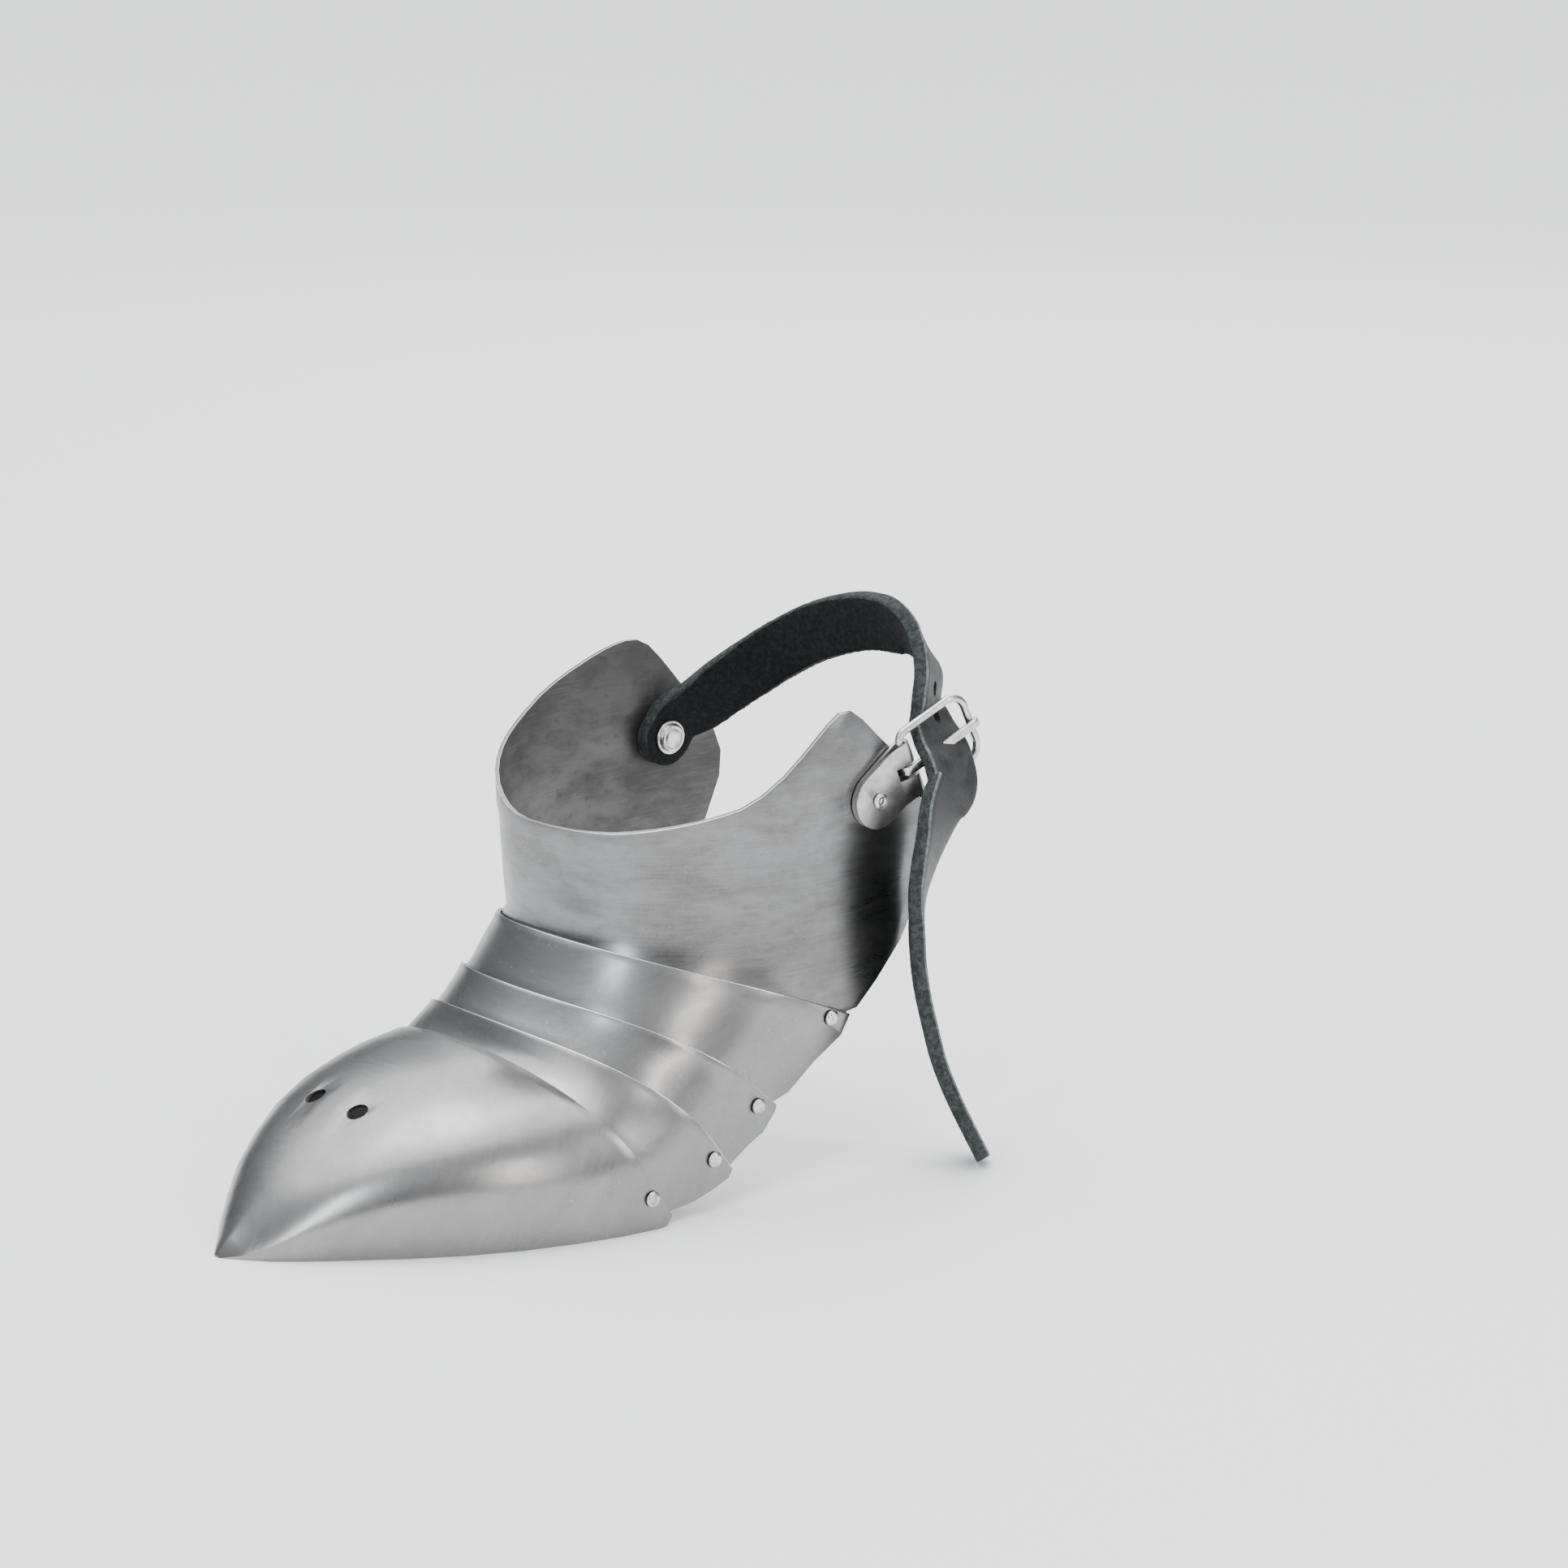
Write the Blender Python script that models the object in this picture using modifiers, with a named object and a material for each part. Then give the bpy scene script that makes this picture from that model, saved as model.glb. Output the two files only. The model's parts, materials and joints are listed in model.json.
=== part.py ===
"""One sabaton, the plate armour for a foot, with its ankle strap and buckle.

Metres, +Z up. The origin is on the floor under the tip of the toe, +X runs towards the heel,
and the buckle is on the -Y side. The plates are drawn flexed, with the ankle plate raised, so
that the sabaton stands on its toe cap and on the end of its strap.
"""

import math

import bmesh
import bpy
from mathutils import Matrix, Vector

# Plates
SHEET = 0.0012               # wall of every plate
SLIDE_GAP = 0.0004           # air between two plates that slide on each other
LAYER = SHEET + SLIDE_GAP    # each plate lies this far inside the one in front of it
TIP_AHEAD = 0.0040           # the toe's point lies this far ahead of the origin

# Toe cap, which stands on the floor
TOE_LENGTH = 0.1160
TOE_HEIGHT = 0.0482
TOE_HALF_WIDTH = 0.0595
LACE_HOLE_RADIUS = 0.0033
LACE_HOLE_SPREAD = 0.0105    # half the distance between the lace holes
LACE_HOLES_ASIDE = 0.0020    # their middle lies this far to the far side

# Hinge rivets, one after the other from the toe to the ankle, seen from the side
RIVET_FROM_EDGE = 0.0072     # toe cap's rear end to its rivet
RIVET_HEIGHT = 0.0095
STEP_3, SLOPE_3 = 0.0247, math.radians(15.1)
STEP_2, SLOPE_2 = 0.0213, math.radians(34.7)
STEP_1, SLOPE_1 = 0.0354, math.radians(35.9)
UNDER_RIVET = 0.0062         # a plate's lower edge runs this far under its rivets

# Ankle plate
ANKLE_HALF_WIDTH = 0.0510
ANKLE_AHEAD = 0.0684         # its upright front ahead of the last hinge rivet
ANKLE_LENGTH = 0.1112        # that front to the rear of its sides
LIP_RISE = 0.0599            # front of the lip over the last hinge rivet
EAR_RISE = 0.0315            # ears over the front of the lip
EAR_RIVET_BACK = 0.0238      # ear rivets ahead of the rear of the sides
EAR_RIVET_RISE = 0.0019      # ear rivets over the front of the lip

# Rivets
SHANK_RADIUS = 0.0013
HEAD_RADIUS = 0.0024
HEAD_RISE = 0.0011
BURR_RISE = 0.0008           # the flat inner end of a rivet
FIT = 0.0003                 # air round a shank, under a head and between touching pieces
DRILL_DEPTH = 0.0120
CAP_RADIUS = 0.0043          # double-cap rivet of the strap
CAP_RISE = 0.0014
WASHER_RADIUS = 0.0052
WASHER_RISE = 0.0006

ARCH_FLATS = 28              # flats along one arch, from side to side

# Leather strap
STRAP_WIDTH = 0.0180
STRAP_THICKNESS = 0.0045
STRAP_REACH = 0.0258         # how far the loop stands back from the ear rivets
STRAP_ARCH = 0.0448          # how far the loop rises over them
STRAP_HOLE = 0.0036          # width of a punched hole
HOLE_PITCH = 0.0090

# Buckle
CHAPE_SHEET = 0.0011
CHAPE_RADIUS = 0.0085        # round end of the chape's tongue
CHAPE_REACH = 0.0135         # ear rivet to the buckle's bar
CHAPE_PARTS = 0.35           # share of that reach after which its two layers part
PARTED_LIFT = 0.9            # how fast they part, of the way to the bar's far side
SLOT_ROOM = 0.0008           # air beside the prong in the chape's slot
CHAPE_SLOPE = math.radians(37.8)
WIRE_RADIUS = 0.0012
FRAME_LENGTH = 0.0250        # bar to bar
FRAME_WIDTH = 0.0220
FRAME_CORNER = 0.0027        # beside the bar
FAR_CORNER = 0.0055          # at the end where the prong rests
BAR_LEAN = math.radians(24.0)    # the bar leans back from the upright
FRAME_SWING = math.radians(2.0)    # the frame stands out from the ear
PRONG_WIDTH = 0.0027
PRONG_THICKNESS = 0.0012


def polar(length, slope):
    """A step in the side view, as x and z."""
    return Vector((length * math.cos(slope), 0.0, length * math.sin(slope)))


def side(x, z, y=0.0):
    """A point measured back from the toe's point and up from the floor."""
    return Vector((x - TIP_AHEAD, y, z))


RIVET_TOE = side(TOE_LENGTH - RIVET_FROM_EDGE, RIVET_HEIGHT)
RIVET_3 = RIVET_TOE + polar(STEP_3, SLOPE_3)
RIVET_2 = RIVET_3 + polar(STEP_2, SLOPE_2)
RIVET_1 = RIVET_2 + polar(STEP_1, SLOPE_1)
LIP_FRONT = RIVET_1 + Vector((-ANKLE_AHEAD, 0.0, LIP_RISE))
EAR_RIVET = LIP_FRONT + Vector((ANKLE_LENGTH - EAR_RIVET_BACK, 0.0, EAR_RIVET_RISE))

HALF_3 = TOE_HALF_WIDTH - LAYER
HALF_2 = HALF_3 - LAYER
HALF_1 = HALF_2 - LAYER
HALF_ANKLE = HALF_1 - LAYER


def scene_collection(name):
    made = bpy.data.collections.new(name)
    bpy.context.scene.collection.children.link(made)
    return made


for thing in list(bpy.data.objects):
    bpy.data.objects.remove(thing, do_unlink=True)
PARTS = scene_collection("sabaton")
CUTTERS = scene_collection("cutters")


def make_material(name, colour, roughness, metallic):
    material = bpy.data.materials.new(name)
    material.use_nodes = True
    shader = material.node_tree.nodes["Principled BSDF"]
    shader.inputs["Base Color"].default_value = (*colour, 1.0)
    shader.inputs["Roughness"].default_value = roughness
    shader.inputs["Metallic"].default_value = metallic
    material.diffuse_color = (*colour, 1.0)
    return material


def add_object(name, mesh, colour, roughness=0.35, metallic=1.0):
    made = bpy.data.objects.new(name, mesh)
    mesh.materials.append(make_material(name, colour, roughness, metallic))
    PARTS.objects.link(made)
    return made


# Arches and the plates lofted through them

def edge(rivet, foot, top, bulge, half_width, stretch=3.0, power=2.0, wall=0.24):
    """The rear edge of a plate: its rivet, the arch from its lower corners, and over how
    many degrees behind it the next plate stays round about the rivet."""
    return {"rivet": rivet, "stretch": stretch,
            **section(foot, top, bulge, half_width, power, wall)}


def section(foot, top, bulge, half_width, power=2.0, wall=0.24):
    """An arch that leans from its two feet to its top centre. Its sides are upright up to
    the share wall of its rise, and power sets how square it is."""
    return {"foot": foot, "top": top, "bulge": bulge, "half": half_width,
            "power": power, "wall": wall}


def arch_shares(power, wall, wall_flats):
    """The points of an arch as shares of its rise and of its half width, near foot first."""
    shares = [(wall * count / wall_flats, -1.0) for count in range(wall_flats)]
    for count in range(ARCH_FLATS + 1):
        angle = math.pi * count / ARCH_FLATS
        rise = wall + (1.0 - wall) * abs(math.sin(angle)) ** (2.0 / power)
        across = math.copysign(abs(math.cos(angle)) ** (2.0 / power), -math.cos(angle))
        shares.append((rise, across))
    shares += [(rise, 1.0) for rise, across in shares[wall_flats - 1::-1]]
    return shares


def arch_points(arch, wall_flats=1):
    """Points of an arch, from its near foot over the top to its far foot."""
    lean = arch["top"] - arch["foot"]
    outward = Vector((lean.z, 0.0, -lean.x)).normalized()
    points = []
    for rise, across in arch_shares(arch["power"], arch["wall"], wall_flats):
        swell = arch["bulge"] * 4.0 * rise * (1.0 - rise)
        point = arch["foot"] + lean * rise + outward * swell
        point.y = across * arch["half"]
        points.append(point)
    return points


def inner_rows(rows):
    """The inside of a plate: every point moved in by the sheet, square to the surface."""
    inside = []
    last_row = len(rows) - 1
    last_point = len(rows[0]) - 1
    for r, row in enumerate(rows):
        moved = []
        for p, point in enumerate(row):
            along = rows[min(r + 1, last_row)][p] - rows[max(r - 1, 0)][p]
            round_arch = row[min(p + 1, last_point)] - row[max(p - 1, 0)]
            outward = along.cross(round_arch).normalized()
            if p in (0, last_point):
                rim = round_arch.normalized()
                outward = (outward - rim * outward.dot(rim)).normalized()
                outward.z = 0.0
            inner = point - outward.normalized() * SHEET
            inner.z = max(inner.z, 0.0)
            moved.append(inner)
        inside.append(moved)
    return inside


def shell(name, rows, colour, solid_rows=0):
    """A plate of sheet metal lofted through rows of points. The first solid_rows rows have
    no hollow behind them, as at the folded point of the toe."""
    mesh_builder = bmesh.new()
    outside = [[mesh_builder.verts.new(point) for point in row] for row in rows]
    inside = [[mesh_builder.verts.new(point) for point in row] for row in inner_rows(rows)[solid_rows:]]
    last = len(rows[0]) - 1
    for skin in (outside, inside):
        for row, following in zip(skin, skin[1:]):
            for p in range(last):
                mesh_builder.faces.new((row[p], following[p], following[p + 1], row[p + 1]))
    for row, following, inner, inner_following in zip(
            outside[solid_rows:], outside[solid_rows + 1:], inside, inside[1:]):
        for p in (0, last):
            mesh_builder.faces.new((row[p], inner[p], inner_following[p], following[p]))
    ends = [(outside[-1], inside[-1])]
    if solid_rows == 0:
        ends.append((outside[0], inside[0]))
    for outer, inner in ends:
        for p in range(last):
            mesh_builder.faces.new((outer[p], outer[p + 1], inner[p + 1], inner[p]))
    if solid_rows:
        mesh_builder.faces.new(outside[0])
        mesh_builder.faces.new(inside[0])
        near_rim = [row[0] for row in outside[:solid_rows + 1]]
        far_rim = [row[last] for row in outside[:solid_rows + 1]]
        mesh_builder.faces.new(near_rim + [inside[0][0], inside[0][last]] + far_rim[::-1])
    bmesh.ops.triangulate(mesh_builder, faces=mesh_builder.faces)
    bmesh.ops.recalc_face_normals(mesh_builder, faces=mesh_builder.faces)
    mesh = bpy.data.meshes.new(name)
    mesh_builder.to_mesh(mesh)
    mesh_builder.free()
    return add_object(name, mesh, colour)


# The four rear edges, as seen from the side

def mixed(low, high, share):
    return low + (high - low) * share


EDGE_TOE = edge(RIVET_TOE, side(TOE_LENGTH, 0.062 * TOE_HEIGHT),
                RIVET_TOE + Vector((-0.452, 0.0, 0.766)) * TOE_HEIGHT,
                0.017 * TOE_HEIGHT, TOE_HALF_WIDTH, 1.0, 2.2, 0.32)
EDGE_3 = edge(RIVET_3, RIVET_3 + Vector((1.126, 0.0, -0.694)) * UNDER_RIVET,
              RIVET_3 + Vector((-0.838, 0.0, 0.776)) * TOE_HEIGHT,
              0.095 * TOE_HEIGHT, HALF_3)
EDGE_2 = edge(RIVET_2, RIVET_2 + Vector((1.145, 0.0, -0.161)) * UNDER_RIVET,
              RIVET_2 + Vector((-1.017, 0.0, 0.699)) * TOE_HEIGHT,
              0.079 * TOE_HEIGHT, HALF_2)
EDGE_1 = edge(RIVET_1, RIVET_1 + Vector((1.194, 0.0, -0.040)) * UNDER_RIVET,
              RIVET_1 + Vector((-1.396, 0.0, 0.563)) * TOE_HEIGHT,
              0.025 * TOE_HEIGHT, HALF_1)

# Toe cap: foot and top along its length, top over its height, half width and the shape of
# each section. The last two rows turn up into the rear corner.
TOE_SECTIONS = [
    # foot_x  foot_z  top_x  top_z  half   power  wall  bulge
    (0.000, 0.000, 0.004, 0.030, 0.024, 1.15, 0.10, 0.000),
    (0.044, 0.000, 0.041, 0.113, 0.127, 1.45, 0.22, 0.000),
    (0.086, 0.000, 0.079, 0.213, 0.221, 1.72, 0.32, 0.000),
    (0.150, 0.000, 0.125, 0.338, 0.323, 1.95, 0.38, 0.000),
    (0.245, 0.000, 0.185, 0.480, 0.454, 2.10, 0.41, 0.000),
    (0.350, 0.000, 0.266, 0.619, 0.593, 2.17, 0.38, 0.004),
    (0.470, 0.000, 0.357, 0.746, 0.730, 2.19, 0.34, 0.010),
    (0.600, 0.000, 0.449, 0.843, 0.844, 2.18, 0.29, 0.016),
    (0.735, 0.000, 0.539, 0.910, 0.927, 2.15, 0.26, 0.018),
    (0.860, 0.000, 0.620, 0.950, 0.982, 2.15, 0.25, 0.018),
    (0.955, 0.000, 0.690, 0.960, 1.000, 2.18, 0.29, 0.017),
    (0.985, 0.010, 0.720, 0.962, 1.000, 2.20, 0.31, 0.017),
]
TOE_COLOUR = (0.55, 0.57, 0.58)


def toe_cap():
    rows = []
    for foot_x, foot_z, top_x, top_z, half, power, wall, bulge in TOE_SECTIONS:
        rows.append(arch_points(section(
            side(foot_x * TOE_LENGTH, foot_z * TOE_HEIGHT),
            side(top_x * TOE_LENGTH, top_z * TOE_HEIGHT),
            bulge * TOE_HEIGHT, half * TOE_HALF_WIDTH, power, wall)))
    rows.append(arch_points(EDGE_TOE))
    return shell("toe_cap", rows, TOE_COLOUR, solid_rows=2)


def under_top(over, degrees, layers=1.0):
    """Top centre of a plate that slides so many layers under the edge of another, turned
    about their rivet: forwards under that plate where degrees is positive."""
    arm = over["top"] - over["rivet"]
    arm = arm * (1.0 - layers * LAYER / arm.length)
    return over["rivet"] + Matrix.Rotation(math.radians(-degrees), 3, "Y") @ arm


# Where each plate slides under the one in front: its foot from that plate's rivet, in edge
# margins, how far the section's top is turned under that plate, in degrees, how many layers
# deep it lies there, and its share of that plate's bulge.
HIDDEN_ROWS = [
    # foot_x  foot_z  turned  layers  bulge
    (-0.75, -1.35, 9.0, 2.50, 0.20),
    (-0.35, -1.28, 4.5, 1.75, 0.50),
]
# The part of each lame that shows: its feet from its own rivet, in edge margins, and where
# the section lies between the end of the round stretch and the lame's own rear edge.
LAME_3_FEET = [
    # foot_x  foot_z  share
    (-1.37, -1.86, 0.00),
    (-0.24, -1.55, 0.50),
    (0.87, -1.11, 0.88),
]
LAME_2_FEET = [
    (-0.53, -1.79, 0.00),
    (0.31, -1.37, 0.50),
    (1.02, -0.53, 0.88),
]
LAME_1_FEET = [
    (-2.58, -3.17, 0.00),
    (-1.05, -1.99, 0.45),
    (0.63, -0.97, 0.85),
]
TAPER = 0.0012               # the toe cap narrows this much for each edge margin ahead


def blended(low, high, share):
    """An arch between two others."""
    return {key: mixed(low[key], high[key], share) for key in high if key not in ("rivet", "stretch")}


def hidden_sections(over, half_width, taper=0.0):
    """The arches of a plate that lie under the plate in front, up to that plate's edge, and
    the arch a little behind it. They stay clear of that plate as they turn on the rivet."""
    hidden = []
    for foot_x, foot_z, turned, layers, bulge in HIDDEN_ROWS:
        foot = over["rivet"] + Vector((foot_x, 0.0, foot_z)) * UNDER_RIVET
        hidden.append({**over, "foot": foot, "top": under_top(over, turned, layers),
                       "bulge": over["bulge"] * bulge, "half": half_width + taper * foot_x})
    foot = over["foot"] + Vector((0.0, 0.0, SLIDE_GAP))
    hidden.append({**over, "foot": foot, "top": under_top(over, 0.0), "half": half_width})
    slid_out = {**over, "foot": foot, "top": under_top(over, -over["stretch"]),
                "half": half_width}
    return hidden, slid_out


def lame(name, over, own, feet, colour, taper=0.0):
    arches, slid_out = hidden_sections(over, own["half"], taper)
    for foot_x, foot_z, share in feet:
        foot = own["rivet"] + Vector((foot_x, 0.0, foot_z)) * UNDER_RIVET
        arches.append({**blended(slid_out, own, share), "foot": foot})
    arches.append(own)
    return shell(name, [arch_points(arch) for arch in arches], colour)


# Ankle plate: foot as shares of its length back from its front and of the rise from its
# rivets to the lip, top over the rise from the last lame to the lip, half width of the ears
ANKLE_SECTIONS = [
    # foot_x  foot_z  top    width
    (0.716, 0.012, 0.00, 1.00),
    (0.785, 0.128, 0.22, 0.85),
    (0.871, 0.296, 0.43, 0.55),
    (0.949, 0.538, 0.60, 0.25),
    (0.995, 0.755, 0.72, 0.00),
    (1.000, 0.888, 0.80, 0.00),
    (0.972, 1.022, 0.87, 0.00),
    (0.912, 1.155, 0.92, 0.00),
]
LIP_FOOT = 0.867             # rear end of the lip, as a share of the plate's length
# Lip: share of the way from its rear foot to the front, then its height over the front
# on the buckle side and on the other, as shares of the ears' rise
LIP_TABLE = [
    # share  near   far
    (0.000, 0.454, 0.500),
    (0.063, 0.610, 0.730),
    (0.124, 0.803, 0.940),
    (0.168, 0.920, 1.025),
    (0.205, 0.960, 1.050),
    (0.245, 0.905, 1.040),
    (0.305, 0.755, 1.000),
    (0.410, 0.489, 0.890),
    (0.490, 0.317, 0.800),
    (0.580, 0.187, 0.690),
    (0.670, 0.120, 0.560),
    (0.800, 0.041, 0.400),
    (0.900, -0.010, 0.250),
    (0.970, -0.010, 0.100),
    (1.000, 0.000, 0.000),
]
ANKLE_WALL_FLATS = 8
ANKLE_WALL = 0.36
ANKLE_POWER = 2.1


def from_table(table, share, column):
    for low, high in zip(table, table[1:]):
        if share <= high[0]:
            between = (share - low[0]) / (high[0] - low[0])
            return mixed(low[column], high[column], between)
    return table[-1][column]


def lip_points():
    """The open upper edge of the ankle plate, higher on the far side."""
    points = []
    for rise, across in arch_shares(ANKLE_POWER, ANKLE_WALL, ANKLE_WALL_FLATS):
        column = 1 if across < 0.0 else 2
        point = LIP_FRONT + Vector((LIP_FOOT * ANKLE_LENGTH * (1.0 - rise), 0.0,
                                    EAR_RISE * from_table(LIP_TABLE, rise, column)))
        point.y = across * ANKLE_HALF_WIDTH
        points.append(point)
    return points


def ankle_plate():
    arches, slid_out = hidden_sections(EDGE_1, HALF_ANKLE)
    for foot_x, foot_z, up, width in ANKLE_SECTIONS:
        foot = LIP_FRONT + Vector((foot_x * ANKLE_LENGTH, 0.0, (foot_z - 1.0) * LIP_RISE))
        top = mixed(slid_out["top"], LIP_FRONT, up)
        top.x = mixed(slid_out["top"].x, LIP_FRONT.x, 1.0 - (1.0 - up) ** 2)
        arches.append(section(foot, top, 0.0, mixed(ANKLE_HALF_WIDTH, HALF_ANKLE, width),
                              mixed(ANKLE_POWER, slid_out["power"], width),
                              mixed(ANKLE_WALL, slid_out["wall"], width)))
    rows = [arch_points(arch, ANKLE_WALL_FLATS) for arch in arches]
    rows.append(lip_points())
    return shell("ankle_plate", rows, (0.42, 0.43, 0.43))


# Turned rivets and drilled holes

def turned(name, profile, point, facing, colour, segments=12):
    """A turned piece: profile holds radius and height from the top down, and the piece's
    axis stands out along +Y or -Y from point."""
    mesh = bpy.data.meshes.new(name)
    corners = [(radius, 0.0, height) for radius, height in profile]
    mesh.from_pydata(corners, [(i, i + 1) for i in range(len(corners) - 1)], [])
    made = add_object(name, mesh, colour, 0.25)
    screw = made.modifiers.new("turn", "SCREW")
    screw.steps = segments
    screw.render_steps = segments
    screw.use_merge_vertices = True
    screw.merge_threshold = 0.00001
    made.location = point
    made.rotation_euler.x = -facing * math.pi / 2.0
    return made


def domed(radius, base, rise):
    """Profile of a domed head, from its crown to its rim."""
    steps = 4
    return [(radius * math.sin(math.pi / 2.0 * i / steps),
             base + rise * math.cos(math.pi / 2.0 * i / steps)) for i in range(steps)] + [
                 (radius, base + 0.12 * rise), (radius, base)]


def hinge_rivet(name, point, half_width, facing):
    inner_face = -(2.0 * SHEET + SLIDE_GAP + FIT)
    profile = domed(HEAD_RADIUS, FIT, HEAD_RISE)
    profile += [(SHANK_RADIUS, FIT), (SHANK_RADIUS, inner_face), (HEAD_RADIUS, inner_face),
                (HEAD_RADIUS, inner_face - BURR_RISE), (0.0, inner_face - BURR_RISE)]
    seat = Vector((point.x, facing * half_width, point.z))
    return turned(name, profile, seat, facing, (0.80, 0.81, 0.82))


def add_cutter(name, mesh):
    made = bpy.data.objects.new(name, mesh)
    CUTTERS.objects.link(made)
    made.hide_render = True
    made.display_type = "WIRE"
    return made


def cut(piece, cutter):
    modifier = piece.modifiers.new("cut", "BOOLEAN")
    modifier.operation = "DIFFERENCE"
    modifier.solver = "EXACT"
    modifier.object = cutter


def drill(piece, point, radius, axis=Vector((0.0, 1.0, 0.0)), depth=DRILL_DEPTH, sides=14):
    """Drill a round hole through a piece at a point."""
    builder = bmesh.new()
    bmesh.ops.create_cone(builder, cap_ends=True, segments=sides, radius1=radius,
                          radius2=radius, depth=depth)
    mesh = bpy.data.meshes.new("hole")
    builder.to_mesh(mesh)
    builder.free()
    cutter = add_cutter("hole", mesh)
    turn = Vector((0.0, 0.0, 1.0)).rotation_difference(axis)
    cutter.matrix_world = Matrix.Translation(point) @ turn.to_matrix().to_4x4()
    cut(piece, cutter)


def box_cutter(name, centre, axes, sizes):
    """A box with its middle at centre and its sides along three axes."""
    builder = bmesh.new()
    bmesh.ops.create_cube(builder, size=1.0)
    mesh = bpy.data.meshes.new(name)
    builder.to_mesh(mesh)
    builder.free()
    cutter = add_cutter(name, mesh)
    turn = Matrix(axes).transposed().to_4x4()
    cutter.matrix_world = Matrix.Translation(centre) @ turn @ Matrix.Diagonal((*sizes, 1.0))
    return cutter


def hinge(label, point, over, under, half_width):
    """A pair of rivets through two plates, one on each side."""
    for place, facing in (("near", -1.0), ("far", 1.0)):
        for plate in (over, under):
            drill(plate, Vector((point.x, facing * half_width, point.z)), SHANK_RADIUS + FIT)
        hinge_rivet(f"rivet_{label}_{place}", point, half_width, facing)


# Bands: the strap, the chape and the prong are swept from rectangles

def band(name, stations, colour, roughness=0.35, metallic=1.0):
    """A closed solid through rectangles. A station holds its centre, a vector to the middle
    of one narrow side and a vector to the middle of one broad face."""
    builder = bmesh.new()
    rings = []
    for centre, half_across, half_deep in stations:
        corners = (centre - half_across - half_deep, centre + half_across - half_deep,
                   centre + half_across + half_deep, centre - half_across + half_deep)
        rings.append([builder.verts.new(corner) for corner in corners])
    for ring, following in zip(rings, rings[1:]):
        for i in range(4):
            j = (i + 1) % 4
            builder.faces.new((ring[i], ring[j], following[j], following[i]))
    builder.faces.new(rings[0][::-1])
    builder.faces.new(rings[-1])
    bmesh.ops.triangulate(builder, faces=builder.faces)
    bmesh.ops.recalc_face_normals(builder, faces=builder.faces)
    mesh = bpy.data.meshes.new(name)
    builder.to_mesh(mesh)
    builder.free()
    return add_object(name, mesh, colour, roughness, metallic)


def curve_through(points, steps):
    """Catmull-Rom curve through points, with steps points for each stretch."""
    padded = [points[0] * 2.0 - points[1]] + points + [points[-1] * 2.0 - points[-2]]
    smooth = []
    for i in range(1, len(padded) - 2):
        before, start, end, after = padded[i - 1:i + 3]
        for step in range(steps):
            t = step / steps
            smooth.append(0.5 * (2.0 * start + (end - before) * t
                                 + (2.0 * before - 5.0 * start + 4.0 * end - after) * t ** 2
                                 + (3.0 * start - 3.0 * end + after - before) * t ** 3))
    smooth.append(points[-1].copy())
    return smooth


# Buckle

TONGUE = Vector((math.cos(CHAPE_SLOPE), 0.0, math.sin(CHAPE_SLOPE)))
BAR = Vector((math.sin(BAR_LEAN), 0.0, -math.cos(BAR_LEAN)))
OFF_BAR = Vector((math.cos(BAR_LEAN), 0.0, math.sin(BAR_LEAN)))
OUT = Vector((0.0, -1.0, 0.0))
CHAPE_BEND = WIRE_RADIUS + FIT + CHAPE_SHEET / 2.0
INNER_LAYER = OUT * (ANKLE_HALF_WIDTH + FIT + CHAPE_SHEET / 2.0)
LAYER_STEP = CHAPE_SHEET + FIT / 2.0
BAR_CENTRE = EAR_RIVET + TONGUE * CHAPE_REACH + INNER_LAYER + OUT * CHAPE_BEND
FRAME_ALONG = (OFF_BAR * math.cos(FRAME_SWING) + OUT * math.sin(FRAME_SWING)).normalized()
OUTWARD = BAR.cross(FRAME_ALONG).normalized()    # away from the leg, square to the frame
FRAME_CENTRE = BAR_CENTRE + FRAME_ALONG * (FRAME_LENGTH / 2.0)
BRIGHT = (0.72, 0.73, 0.74)


def round_end(from_end, radius):
    """Half width of a strip with a round end, this far from the end."""
    if from_end >= radius:
        return radius
    return math.sqrt(max(radius ** 2 - (radius - from_end) ** 2, 0.0))


def chape():
    """A strip that runs up the outside of the ear, round the bar and back over itself."""
    across_tongue = Vector((TONGUE.z, 0.0, -TONGUE.x))
    shares = (0.01, 0.06, 0.16, 0.30, 0.50, 0.75, 1.00)
    straight = [CHAPE_RADIUS * share for share in shares]
    reach = CHAPE_REACH + CHAPE_RADIUS
    straight.append(mixed(CHAPE_RADIUS, reach, 0.55))
    bend_steps = 12
    inner = []
    outer = []
    for from_end in straight:
        share = max(from_end - CHAPE_RADIUS, 0.0) / CHAPE_REACH
        across = across_tongue.lerp(BAR, share).normalized() * round_end(from_end, CHAPE_RADIUS)
        centre = EAR_RIVET + TONGUE * (from_end - CHAPE_RADIUS) + INNER_LAYER
        inner.append((centre, across, OUT * CHAPE_SHEET / 2.0))
        parted = max(share - CHAPE_PARTS, 0.0) * PARTED_LIFT
        lift = LAYER_STEP + (2.0 * CHAPE_BEND - LAYER_STEP) * parted
        outer.append((centre + OUT * lift, across, -OUT * CHAPE_SHEET / 2.0))
    bend = []
    for step in range(bend_steps + 1):
        angle = math.pi * step / bend_steps
        spoke = -OUT * math.cos(angle) + OFF_BAR * math.sin(angle)
        bend.append((BAR_CENTRE + spoke * CHAPE_BEND, BAR * CHAPE_RADIUS,
                     -spoke * CHAPE_SHEET / 2.0))
    made = band("buckle_chape", inner + bend + outer[::-1], BRIGHT)
    drill(made, EAR_RIVET + INNER_LAYER, SHANK_RADIUS + FIT)
    depth = 3.0 * (CHAPE_BEND + CHAPE_SHEET)
    cut(made, box_cutter("prong_slot", BAR_CENTRE, (OFF_BAR, BAR, OUT),
                         (depth, PRONG_WIDTH + 2.0 * SLOT_ROOM, depth)))
    return made


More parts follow.
